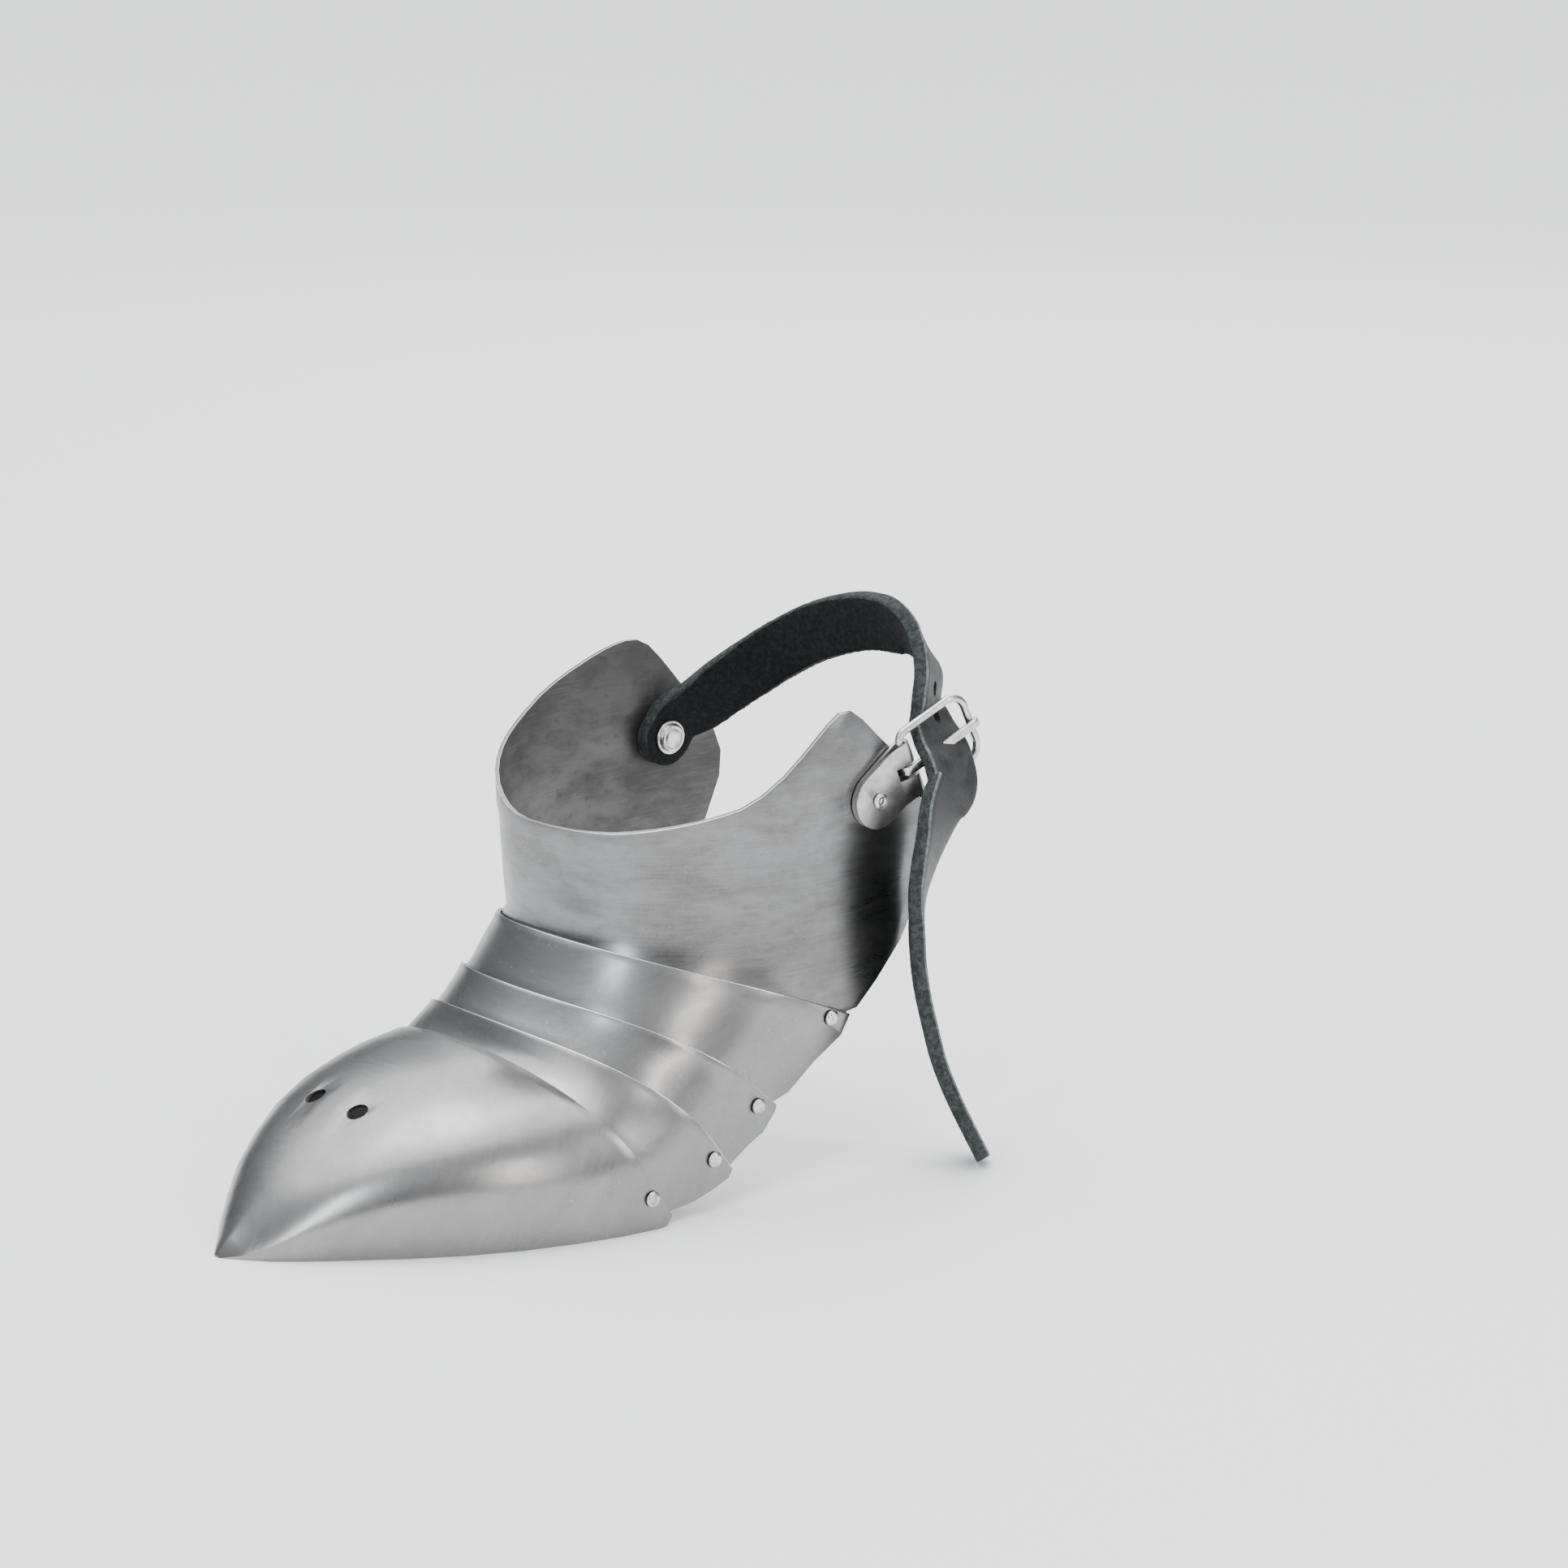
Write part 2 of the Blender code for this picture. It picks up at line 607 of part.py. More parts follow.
def rounded_rectangle(length, width, steps=4):
    """The wire's path in its own plane, as pairs along the length and the width."""
    path = []
    for quarter, (sign_x, sign_y) in enumerate(((1, 1), (-1, 1), (-1, -1), (1, -1))):
        corner = FAR_CORNER if sign_x > 0 else FRAME_CORNER
        centre = (sign_x * (length / 2.0 - corner), sign_y * (width / 2.0 - corner))
        for step in range(steps + 1):
            angle = math.pi / 2.0 * (quarter + step / steps)
            path.append((centre[0] + corner * math.cos(angle),
                         centre[1] + corner * math.sin(angle)))
    return path


def buckle_frame():
    curve = bpy.data.curves.new("buckle_frame", "CURVE")
    curve.dimensions = "3D"
    curve.bevel_depth = WIRE_RADIUS
    curve.bevel_resolution = 2
    spline = curve.splines.new("POLY")
    path = rounded_rectangle(FRAME_LENGTH, FRAME_WIDTH)
    spline.points.add(len(path) - 1)
    for point, (along, across) in zip(spline.points, path):
        place = FRAME_CENTRE + FRAME_ALONG * along + BAR * across
        point.co = (*place, 1.0)
    spline.use_cyclic_u = True
    made = bpy.data.objects.new("buckle_frame", curve)
    curve.materials.append(make_material("buckle_frame", BRIGHT, 0.25, 1.0))
    PARTS.objects.link(made)
    return made


def buckle_prong():
    """Curled round the bar in the chape's slot, then straight and over the far bar."""
    bend = WIRE_RADIUS + FIT + PRONG_THICKNESS / 2.0
    stations = []
    half_across = BAR * PRONG_WIDTH / 2.0
    curl_steps = 12
    for step in range(curl_steps + 1):
        angle = math.radians(-250.0 + 250.0 * step / curl_steps)
        spoke = OUTWARD * math.cos(angle) + FRAME_ALONG * math.sin(angle)
        stations.append((BAR_CENTRE + spoke * bend, half_across, spoke * PRONG_THICKNESS / 2.0))
    far_bar = BAR_CENTRE + FRAME_ALONG * FRAME_LENGTH
    tip_steps = 5
    for step in range(tip_steps + 1):
        angle = math.radians(65.0 * step / tip_steps)
        spoke = OUTWARD * math.cos(angle) + FRAME_ALONG * math.sin(angle)
        stations.append((far_bar + spoke * bend, half_across, spoke * PRONG_THICKNESS / 2.0))
    return band("buckle_prong", stations, BRIGHT)


# Strap: it leaves the inside of the far ear, loops up behind the ankle, passes down through
# the buckle and hangs to the floor. Its width points from its lower to its upper edge.
LOOP_POINTS = [
    # back   side   up     width_x width_y width_z, as shares of STRAP_REACH,
    # ANKLE_HALF_WIDTH and STRAP_ARCH from the ear rivets
    (0.365, 0.824, 0.207, -0.68, 0.12, 0.72),
    (0.564, 0.686, 0.360, -0.55, 0.25, 0.80),
    (0.749, 0.549, 0.497, -0.42, 0.35, 0.83),
    (0.878, 0.333, 0.665, -0.25, 0.40, 0.87),
    (1.008, 0.098, 0.813, -0.10, 0.10, 0.96),
    (1.084, -0.196, 0.927, -0.20, -0.15, 0.95),
    (1.081, -0.431, 0.969, -0.28, -0.34, 0.90),
    (1.044, -0.627, 0.968, -0.42, -0.48, 0.78),
    (1.075, -0.755, 0.876, -0.62, -0.57, 0.50),
    (1.065, -0.843, 0.750, -0.77, -0.52, 0.34),
]
BUCKLE_POINTS = [
    # along  down   out    width_x width_y width_z, as shares of FRAME_LENGTH and
    # FRAME_WIDTH from the middle of the buckle's frame
    (0.27, -0.46, -0.38, -0.80, -0.54, 0.15),
    (0.15, -0.21, -0.26, -0.93, -0.26, 0.16),
    (0.03, 0.00, 0.00, -0.98, 0.03, 0.20),
    (-0.08, 0.19, 0.22, -0.97, -0.05, 0.20),
    (-0.19, 0.41, 0.33, -0.97, -0.12, 0.20),
]
TAIL_POINTS = [
    # back   side    height  width_x width_y width_z, as shares of STRAP_REACH,
    # ANKLE_HALF_WIDTH and the ear rivets' height
    (0.620, -1.235, 0.979, -0.95, -0.22, 0.20),
    (0.480, -1.235, 0.902, -0.86, -0.46, 0.23),
    (0.375, -1.228, 0.831, -0.77, -0.59, 0.24),
    (0.300, -1.220, 0.754, -0.69, -0.68, 0.25),
    (0.285, -1.216, 0.665, -0.61, -0.75, 0.25),
    (0.299, -1.220, 0.576, -0.61, -0.75, 0.25),
    (0.343, -1.231, 0.486, -0.61, -0.75, 0.25),
    (0.422, -1.251, 0.391, -0.61, -0.75, 0.25),
    (0.513, -1.278, 0.293, -0.61, -0.75, 0.25),
    (0.633, -1.310, 0.207, -0.61, -0.75, 0.25),
    (0.760, -1.345, 0.131, -0.61, -0.75, 0.25),
    (0.985, -1.400, 0.012, -0.61, -0.75, 0.25),
]
STRAP_SPACING = 0.0053       # between the sections of the strap
STRAP_OFF_EAR = 0.0005       # it has bent this far off the ear beside its rivet
STRAP_START = Vector((0.62, 0.0, 0.78)).normalized()    # the way it leaves its rivet
LIES_FLAT = 0.36             # from its rivet it lies on the ear this long, in strap widths
LEATHER = (0.03, 0.03, 0.032)


def strap_route():
    """Points of the strap's middle and the way its width points at each."""
    seat = ANKLE_HALF_WIDTH - SHEET - FIT - STRAP_THICKNESS / 2.0
    across = Vector((-STRAP_START.z, 0.0, STRAP_START.x))
    rivet = EAR_RIVET + Vector((0.0, seat, 0.0))
    leaves = rivet + STRAP_START * STRAP_WIDTH * LIES_FLAT - Vector((0.0, STRAP_OFF_EAR, 0.0))
    points = [rivet - STRAP_START * STRAP_WIDTH / 2.0, rivet, leaves]
    widths = [across] * 3
    for back, aside, up, *width in LOOP_POINTS:
        points.append(EAR_RIVET + Vector((back * STRAP_REACH, aside * ANKLE_HALF_WIDTH,
                                          up * STRAP_ARCH)))
        widths.append(Vector(width))
    for along, down, out, *width in BUCKLE_POINTS:
        points.append(FRAME_CENTRE + FRAME_ALONG * along * FRAME_LENGTH
                      + BAR * down * FRAME_WIDTH + OUTWARD * out * FRAME_WIDTH)
        widths.append(Vector(width))
    for back, aside, height, *width in TAIL_POINTS:
        points.append(Vector((EAR_RIVET.x + back * STRAP_REACH, aside * ANKLE_HALF_WIDTH,
                              height * EAR_RIVET.z)))
        widths.append(Vector(width))
    return points, widths


class Route:
    """The smooth middle line of the strap, read off by length."""

    def __init__(self, points, widths, steps=10):
        self.line = curve_through(points, steps)
        self.widths = curve_through(widths, steps)
        self.lengths = [0.0]
        for start, end in zip(self.line, self.line[1:]):
            self.lengths.append(self.lengths[-1] + (end - start).length)
        self.total = self.lengths[-1]

    def at(self, length):
        """Centre, across and outward directions at a length from the start."""
        low = 0
        while low < len(self.lengths) - 2 and self.lengths[low + 1] < length:
            low += 1
        span = self.lengths[low + 1] - self.lengths[low]
        share = (length - self.lengths[low]) / span
        centre = mixed(self.line[low], self.line[low + 1], share)
        before = self.line[max(low - 1, 0)]
        after = self.line[min(low + 2, len(self.line) - 1)]
        forward = (after - before).normalized()
        width = mixed(self.widths[low], self.widths[low + 1], share)
        across = (width - forward * width.dot(forward)).normalized()
        return centre, across, across.cross(forward)

    def length_near(self, point):
        nearest = min(range(len(self.line)), key=lambda i: (self.line[i] - point).length)
        return self.lengths[nearest]


def ankle_strap():
    route = Route(*strap_route())
    radius = STRAP_WIDTH / 2.0
    end_shares = (0.015, 0.07, 0.18, 0.34, 0.55, 0.80, 1.00)
    lengths = [radius * share for share in end_shares]
    count = round((route.total - STRAP_WIDTH) / STRAP_SPACING)
    inner_length = route.total - STRAP_WIDTH
    lengths += [radius + inner_length * i / count for i in range(1, count)]
    lengths += [route.total - radius * share for share in end_shares[::-1]]
    stations = []
    for length in lengths:
        centre, across, outward = route.at(length)
        half = min(round_end(length, radius), round_end(route.total - length, radius))
        stations.append((centre, across * half, outward * STRAP_THICKNESS / 2.0))
    strap = band("ankle_strap", stations, LEATHER, 0.6, 0.0)
    seat = ANKLE_HALF_WIDTH - SHEET - FIT - STRAP_THICKNESS / 2.0
    drill(strap, EAR_RIVET + Vector((0.0, seat, 0.0)), SHANK_RADIUS + FIT)
    in_buckle = route.length_near(FRAME_CENTRE)
    for step in (-2, -1):
        centre, across, outward = route.at(in_buckle + step * HOLE_PITCH)
        drill(strap, centre, STRAP_HOLE / 2.0, outward, 3.0 * STRAP_THICKNESS, 10)
    return strap


def prong_way(strap):
    """The slot that the prong passes through, cut along the prong."""
    lift = OUTWARD * (WIRE_RADIUS + FIT + PRONG_THICKNESS / 2.0)
    cut(strap, box_cutter("prong_way", FRAME_CENTRE + lift, (FRAME_ALONG, BAR, OUTWARD),
                          (FRAME_LENGTH, PRONG_WIDTH + 2.0 * FIT, PRONG_THICKNESS + 2.0 * FIT)))


def strap_rivet():
    """Double-cap rivet with its washer, through the strap and the far ear."""
    inner = ANKLE_HALF_WIDTH - SHEET - FIT - STRAP_THICKNESS
    grip = STRAP_THICKNESS + SHEET + 2.0 * FIT
    profile = domed(CAP_RADIUS, WASHER_RISE + FIT, CAP_RISE)[:-1]
    profile += [(CAP_RADIUS, WASHER_RISE + FIT), (WASHER_RADIUS, WASHER_RISE + FIT),
                (WASHER_RADIUS, FIT), (SHANK_RADIUS, FIT), (SHANK_RADIUS, -grip),
                (HEAD_RADIUS, -grip), (HEAD_RADIUS, -grip - BURR_RISE),
                (0.0, -grip - BURR_RISE)]
    seat = EAR_RIVET + Vector((0.0, inner, 0.0))
    return turned("rivet_strap", profile, seat, -1.0, (0.80, 0.81, 0.82), 18)


def chape_rivet():
    outer = FIT + 2.0 * CHAPE_SHEET + FIT / 2.0
    profile = domed(HEAD_RADIUS, outer + FIT, HEAD_RISE)
    profile += [(SHANK_RADIUS, outer + FIT), (SHANK_RADIUS, -SHEET - FIT),
                (HEAD_RADIUS, -SHEET - FIT), (HEAD_RADIUS, -SHEET - FIT - BURR_RISE),
                (0.0, -SHEET - FIT - BURR_RISE)]
    seat = EAR_RIVET + Vector((0.0, -ANKLE_HALF_WIDTH, 0.0))
    return turned("rivet_chape", profile, seat, -1.0, (0.80, 0.81, 0.82))


toe = toe_cap()
lame_3 = lame("lame_3", EDGE_TOE, EDGE_3, LAME_3_FEET, (0.46, 0.48, 0.49), TAPER)
lame_2 = lame("lame_2", EDGE_3, EDGE_2, LAME_2_FEET, (0.50, 0.52, 0.53))
lame_1 = lame("lame_1", EDGE_2, EDGE_1, LAME_1_FEET, (0.46, 0.48, 0.49))
ankle = ankle_plate()

hinge("toe", RIVET_TOE, toe, lame_3, TOE_HALF_WIDTH)
hinge("lame_3", RIVET_3, lame_3, lame_2, HALF_3)
hinge("lame_2", RIVET_2, lame_2, lame_1, HALF_2)
hinge("lame_1", RIVET_1, lame_1, ankle, HALF_1)

for facing in (-1.0, 1.0):
    hole = side(0.371 * TOE_LENGTH, 0.749 * TOE_HEIGHT,
                LACE_HOLES_ASIDE + facing * LACE_HOLE_SPREAD)
    drill(toe, hole, LACE_HOLE_RADIUS, Vector((-0.40, facing * 0.12, 0.90)).normalized())
    drill(ankle, EAR_RIVET + Vector((0.0, facing * ANKLE_HALF_WIDTH, 0.0)), SHANK_RADIUS + FIT)

chape()
buckle_frame()
buckle_prong()
prong_way(ankle_strap())
strap_rivet()
chape_rivet()
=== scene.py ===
# %% [markdown]
# # A sabaton in brushed steel, with its strap and buckle
# A sabaton is plate armour for a foot: a toe cap, three narrow lames and an ankle plate, which
# slide over each other on rivets. A leather strap is riveted inside one ear of the ankle plate,
# loops behind the ankle and passes down through a buckle on the other ear.
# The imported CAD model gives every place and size. This lesson only makes it look real.

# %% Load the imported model
import json
import math
import random

import bpy
from mathutils import Matrix, Vector


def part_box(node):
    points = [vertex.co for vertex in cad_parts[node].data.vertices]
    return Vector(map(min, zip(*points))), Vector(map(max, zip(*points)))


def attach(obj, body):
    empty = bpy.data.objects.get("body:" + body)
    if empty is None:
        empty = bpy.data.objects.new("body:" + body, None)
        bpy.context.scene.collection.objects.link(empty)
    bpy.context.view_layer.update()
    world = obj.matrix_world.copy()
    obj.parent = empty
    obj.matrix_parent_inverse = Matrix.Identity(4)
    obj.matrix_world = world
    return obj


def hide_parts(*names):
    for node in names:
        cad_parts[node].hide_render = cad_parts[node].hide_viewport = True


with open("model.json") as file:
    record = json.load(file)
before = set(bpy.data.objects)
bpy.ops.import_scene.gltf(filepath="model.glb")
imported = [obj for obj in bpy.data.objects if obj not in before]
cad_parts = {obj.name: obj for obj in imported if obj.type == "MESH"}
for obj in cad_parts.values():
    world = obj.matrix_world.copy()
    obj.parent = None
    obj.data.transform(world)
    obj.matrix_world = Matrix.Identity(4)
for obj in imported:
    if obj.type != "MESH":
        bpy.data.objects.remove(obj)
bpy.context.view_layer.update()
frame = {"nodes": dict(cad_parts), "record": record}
BODY_OF = {node: body for body, nodes in frame["record"]["behaviour"]["bodies"].items()
           for node in nodes}
MM = 0.001
print("nodes on bodies:", BODY_OF)

# %% [markdown]
# ## Camera, floor and light
# The camera looks along the foot from in front of the buckle side, a little above the floor.
# The floor is large and pale, so it fills the picture. Metal shows what stands round it, so
# wide soft lights are needed on both sides and above: each one draws a soft band on the plates,
# and the darker space between two lights draws the dark bands.


# %% Camera
def aimed(thing, place, target):
    """Puts a camera or a light at a place and turns it to a target."""
    thing.location = place
    thing.rotation_euler = (Vector(target) - Vector(place)).to_track_quat("-Z", "Y").to_euler()


camera = bpy.data.objects.new("camera", bpy.data.cameras.new("camera"))
camera.data.lens = 131.4
camera.data.sensor_width = 36.0
aimed(camera, (-0.8453, -1.2794, 0.5312), (0.1193, -0.1009, 0.1373))
bpy.context.scene.collection.objects.link(camera)
bpy.context.scene.camera = camera
print("camera", tuple(round(v, 3) for v in camera.location))


# %% Floor
def only(*things):
    """Selects these objects alone; the last becomes the active one."""
    bpy.ops.object.select_all(action="DESELECT")
    for thing in things:
        thing.select_set(True)
        bpy.context.view_layer.objects.active = thing


only()
bpy.ops.mesh.primitive_plane_add(size=40.0, location=(0.0, 0.0, 0.0))
floor = bpy.context.object
floor.name = "floor"
print("floor", floor.dimensions[:])

# %% Lights
LIGHTS = [
    # name      place                  size x, y     power  colour
    ("left", (-1.55, -0.75, 0.80), (0.26, 1.30), 15.0, (0.92, 0.97, 1.00)),
    ("right", (-0.05, -1.75, 0.70), (0.22, 1.10), 8.0, (1.00, 0.97, 0.94)),
    ("far", (0.95, -1.40, 0.80), (0.30, 1.10), 8.0, (1.00, 1.00, 1.00)),
    ("top", (0.05, 0.15, 1.70), (0.90, 0.90), 10.0, (1.00, 1.00, 1.00)),
    ("back", (1.20, 0.90, 0.90), (0.80, 0.80), 7.0, (1.00, 1.00, 1.00)),
]
MIDDLE = (0.12, 0.0, 0.06)
for name, place, (size_x, size_y), power, colour in LIGHTS:
    light = bpy.data.lights.new("light_" + name, "AREA")
    light.shape = "RECTANGLE"
    light.size = size_x
    light.size_y = size_y
    light.energy = power
    light.color = colour
    lamp = bpy.data.objects.new("light_" + name, light)
    aimed(lamp, place, MIDDLE)
    lamp.visible_camera = False
    bpy.context.scene.collection.objects.link(lamp)
world = bpy.data.worlds.new("studio")
world.use_nodes = True
sky = world.node_tree.nodes
towards = sky.new("ShaderNodeTexCoord")
height = sky.new("ShaderNodeSeparateXYZ")
ramp = sky.new("ShaderNodeValToRGB")
ramp.color_ramp.elements[0].position = 0.02
ramp.color_ramp.elements[0].color = (0.07, 0.072, 0.075, 1.0)
ramp.color_ramp.elements[1].position = 0.75
ramp.color_ramp.elements[1].color = (0.92, 0.95, 1.0, 1.0)
world.node_tree.links.new(towards.outputs["Generated"], height.inputs["Vector"])
world.node_tree.links.new(height.outputs["Z"], ramp.inputs["Fac"])
world.node_tree.links.new(ramp.outputs["Color"], sky["Background"].inputs["Color"])
sky["Background"].inputs["Strength"].default_value = 0.95
bpy.context.scene.world = world
sun = bpy.data.objects.new("light_even", bpy.data.lights.new("light_even", "SUN"))
sun.data.energy = 3.3
sun.data.angle = math.radians(80.0)
aimed(sun, (0.2, 0.5, 2.0), MIDDLE)
bpy.context.scene.collection.objects.link(sun)
print("lights:", len(LIGHTS))

# %% [markdown]
# ## Finishes as sums
# A finish is a tree of shader nodes. Wiring each node by hand is long, so one small class wraps
# a node's output and another makes the nodes: sums of tones are then plain Python sums.


# %% Tones and finishes
class Tone:
    """The output of a shader node, as a value in sums."""

    def __init__(self, finish, socket):
        self.finish = finish
        self.socket = socket

    def maths(self, operation, first, second):
        return self.finish.node("ShaderNodeMath", {"operation": operation},
                                {0: first, 1: second})

    def __add__(self, other):
        return self.maths("ADD", self, other)

    def __radd__(self, other):
        return self.maths("ADD", other, self)

    def __sub__(self, other):
        return self.maths("SUBTRACT", self, other)

    def __rsub__(self, other):
        return self.maths("SUBTRACT", other, self)

    def __mul__(self, other):
        return self.maths("MULTIPLY", self, other)

    def __rmul__(self, other):
        return self.maths("MULTIPLY", other, self)


class Finish:
    """A material. What is the same all over is set on the shader's own sockets."""

    def __init__(self, name, **constants):
        self.material = bpy.data.materials.new(name)
        self.material.use_nodes = True
        self.nodes = self.material.node_tree.nodes
        self.links = self.material.node_tree.links
        self.shader = self.nodes["Principled BSDF"]
        for socket, value in constants.items():
            self.shader.inputs[socket.replace("_", " ")].default_value = value
        self.place = self.node("ShaderNodeTexCoord", output="Object")

    def node(self, kind, settings=None, inputs=None, output=0):
        made = self.nodes.new(kind)
        for setting, value in (settings or {}).items():
            setattr(made, setting, value)
        for socket, value in (inputs or {}).items():
            if isinstance(value, Tone):
                self.links.new(value.socket, made.inputs[socket])
            else:
                made.inputs[socket].default_value = value
        return Tone(self, made.outputs[output])

    def turned(self, scale, turn=(0.0, 0.0, 0.0), place=None):
        """Object coordinates, first turned and then stretched, in repeats for each metre."""
        upright = self.node("ShaderNodeMapping", {"vector_type": "POINT"},
                            {"Vector": place or self.place, "Rotation": turn})
        return self.node("ShaderNodeMapping", {"vector_type": "POINT"},
                         {"Vector": upright, "Scale": scale})

    def noise(self, place, detail=3.0, rough=0.55, twist=0.0):
        return self.node("ShaderNodeTexNoise", {"noise_dimensions": "3D"},
                         {"Vector": place, "Scale": 1.0, "Detail": detail,
                          "Roughness": rough, "Distortion": twist})

    def between(self, tone, low, high, start=0.0, end=1.0):
        """start below low, end above high, and a smooth step between them."""
        return self.node("ShaderNodeMapRange", {"interpolation_type": "SMOOTHSTEP"},
                         {"Value": tone, "From Min": low, "From Max": high,
                          "To Min": start, "To Max": end})

    def colours(self, mask, first, second):
        return self.node("ShaderNodeMix", {"data_type": "RGBA"},
                         {0: mask, 6: first, 7: second}, output=2)

    def bump(self, height, depth, strength=1.0):
        """Height is from 0 to 1, and depth is how deep that is, in metres."""
        return self.node("ShaderNodeBump", {},
                         {"Height": height, "Distance": depth, "Strength": strength})

    def feed(self, **tones):
        for socket, tone in tones.items():
            self.links.new(tone.socket, self.shader.inputs[socket.replace("_", " ")])
        return self


def grey(level, warm=0.0, green=0.0):
    """A grey, a little warmer or greener where asked."""
    return (level * (1.0 + warm), level * (1.0 + green), level * (1.0 - warm), 1.0)


print("finish helpers ready")

# %% [markdown]
# ## Pale floor
# The floor is a plain matt surface, almost white.

# %% Floor finish
plain_floor = Finish("pale_floor", Base_Color=(0.93, 0.935, 0.94, 1.0), Roughness=0.85)
floor.data.materials.append(plain_floor.material)
print("floor finish", plain_floor.material.name)

# %% [markdown]
# ## Brushed plate steel
# The plates are mild steel, rubbed with a fine abrasive. The rubbing leaves thin streaks that
# run round the plate, the hands that wear it leave cloudy patches, and a few stray scratches
# cross the streaks. Streaks are a noise stretched along the rubbing, and patches are the same
# noise at a larger scale. The streaks of each plate lie in the plane of its own arch.


# %% Plate finish
def plate_steel(name, lean, level=0.47, cloudy=0.5, streaky=0.5):
    """lean is how far the plane of the arch leans towards the toe from lying flat."""
    steel = Finish(name, Metallic=1.0)
    turn = (0.0, lean, 0.0)
    streaks = steel.noise(steel.turned((70.0, 70.0, 2300.0), turn), 4.0, 0.65)
    fine = steel.noise(steel.turned((180.0, 180.0, 6000.0), turn), 2.0)
    clouds = steel.noise(steel.turned((38.0, 38.0, 95.0), turn), 5.0, 0.62, 0.6)
    mottle = steel.noise(steel.turned((260.0, 260.0, 420.0), turn), 4.0, 0.6, 0.4)
    tint = steel.noise(steel.turned((14.0, 14.0, 14.0)), 1.0)
    scratch = steel.node("ShaderNodeTexWave",
                         {"wave_type": "BANDS", "bands_direction": "DIAGONAL"},
                         {"Vector": steel.turned((60.0, 22.0, 90.0), (0.4, lean + 0.5, 0.2)),
                          "Scale": 2.2, "Distortion": 26.0, "Detail": 2.0,
                          "Detail Scale": 1.3, "Detail Roughness": 0.6}, output=1)
    stray = steel.between(scratch, 0.991, 0.999) * steel.between(clouds, 0.50, 0.62)
    cloud_mask = steel.between(clouds, 0.34, 0.70)
    shade = cloud_mask * cloudy + steel.between(mottle, 0.35, 0.70) * (0.45 * cloudy)
    colour = steel.colours(steel.between(tint, 0.40, 0.60),
                           grey(level * 1.10, -0.015, 0.004), grey(level * 1.06, 0.012, 0.000))
    colour = steel.colours(shade, colour, grey(level * 0.72, 0.018))
    colour = steel.colours(steel.between(streaks, 0.35, 0.75) * (0.35 * streaky), colour,
                           grey(level * 1.45))
    colour = steel.colours(stray * 0.6, colour, grey(level * 1.7))
    rough = 0.27 + steel.between(clouds, 0.3, 0.7) * 0.07 + (streaks - 0.5) * 0.10
    height = streaks * 0.7 + fine * 0.3 + stray * 0.5
    steel.feed(Base_Color=colour, Roughness=rough,
               Normal=steel.bump(height, 0.00001, 0.35 + 0.35 * streaky))
    return steel.material


def lining_steel(name):
    """The inside, left darker and stained by the forge and by handling."""
    dark = Finish(name, Metallic=0.85)
    clouds = dark.noise(dark.turned((30.0, 30.0, 62.0)), 6.0, 0.66, 0.15)
    spots = dark.noise(dark.turned((240.0, 240.0, 300.0)), 4.0, 0.6)
    streaks = dark.noise(dark.turned((60.0, 60.0, 1700.0)), 3.0, 0.6)
    colour = dark.colours(dark.between(clouds, 0.35, 0.65), grey(0.115, 0.025), grey(0.070, 0.035))
    colour = dark.colours(dark.between(spots, 0.55, 0.75) * 0.5, colour, grey(0.042, 0.03))
    colour = dark.colours(dark.between(streaks, 0.5, 0.8) * 0.35, colour, grey(0.19, 0.01))
    rough = 0.42 + dark.between(clouds, 0.3, 0.7) * 0.14
    dark.feed(Base_Color=colour, Roughness=rough,
              Normal=dark.bump(spots + streaks, 0.00002, 0.5))
    return dark.material


def worn_edge_and_highlight(name):
    """A cut edge, rubbed bright by wear and made brighter still by a painted highlight."""
    bright = Finish(name, Metallic=1.0)
    nicks = bright.noise(bright.turned((900.0, 900.0, 900.0)), 3.0)
    # The pale greys are partly wear and partly a painted highlight along the rim.
    colour = bright.colours(nicks, grey(0.62), grey(0.86))
    bright.feed(Base_Color=colour, Roughness=0.18 + nicks * 0.2,
                Normal=bright.bump(nicks, 0.00003, 0.6))
    return bright.material


LEANS = {"toe_cap": math.radians(58.0), "lame_3": math.radians(46.0),
         "lame_2": math.radians(34.0), "lame_1": math.radians(22.0), "ankle_plate": 0.0}
LINING = lining_steel("dark_lining")
WORN_AND_HIGHLIGHT = worn_edge_and_highlight("worn_edge_and_highlight")
print("plate finishes for", list(LEANS))

# %% [markdown]
# ## The plates
# The plates' shapes are right in the CAD model, which has real walls. Each is copied, because a
# CAD object itself is never changed. The copy's loose triangles are merged and turned back into
# squares, its rims get a fine bevel that catches the light, and the inside gets its own finish.


# %% Plates
def edit(thing, *steps):
    """Runs edit mode steps on one object, with all of it selected."""
    only(thing)
    bpy.ops.object.mode_set(mode="EDIT")
    bpy.ops.mesh.select_all(action="SELECT")
    for step in steps:
        step()
    bpy.ops.object.mode_set(mode="OBJECT")


def apply_all(thing):
    only(thing)
    for modifier in list(thing.modifiers):
        bpy.ops.object.modifier_apply(modifier=modifier.name)


def copied_from(node, name):
    """A copy of a CAD node with its triangles merged into squares."""
    mesh = frame["nodes"][node].data.copy()
    mesh.materials.clear()
    made = bpy.data.objects.new(name, mesh)
    bpy.context.scene.collection.objects.link(made)
    edit(made, lambda: bpy.ops.mesh.remove_doubles(threshold=0.00001),
         bpy.ops.mesh.tris_convert_to_quads)
    only(made)
    bpy.ops.mesh.customdata_custom_splitnormals_clear()
    return made


def bevelled(thing, width, angle, segments=2, finish_slot=-1):
    bevel = thing.modifiers.new("bevel", "BEVEL")
    bevel.width = width
    bevel.segments = segments
    bevel.limit_method = "ANGLE"
    bevel.angle_limit = math.radians(angle)
    bevel.material = finish_slot
    bevel.use_clamp_overlap = True
    apply_all(thing)


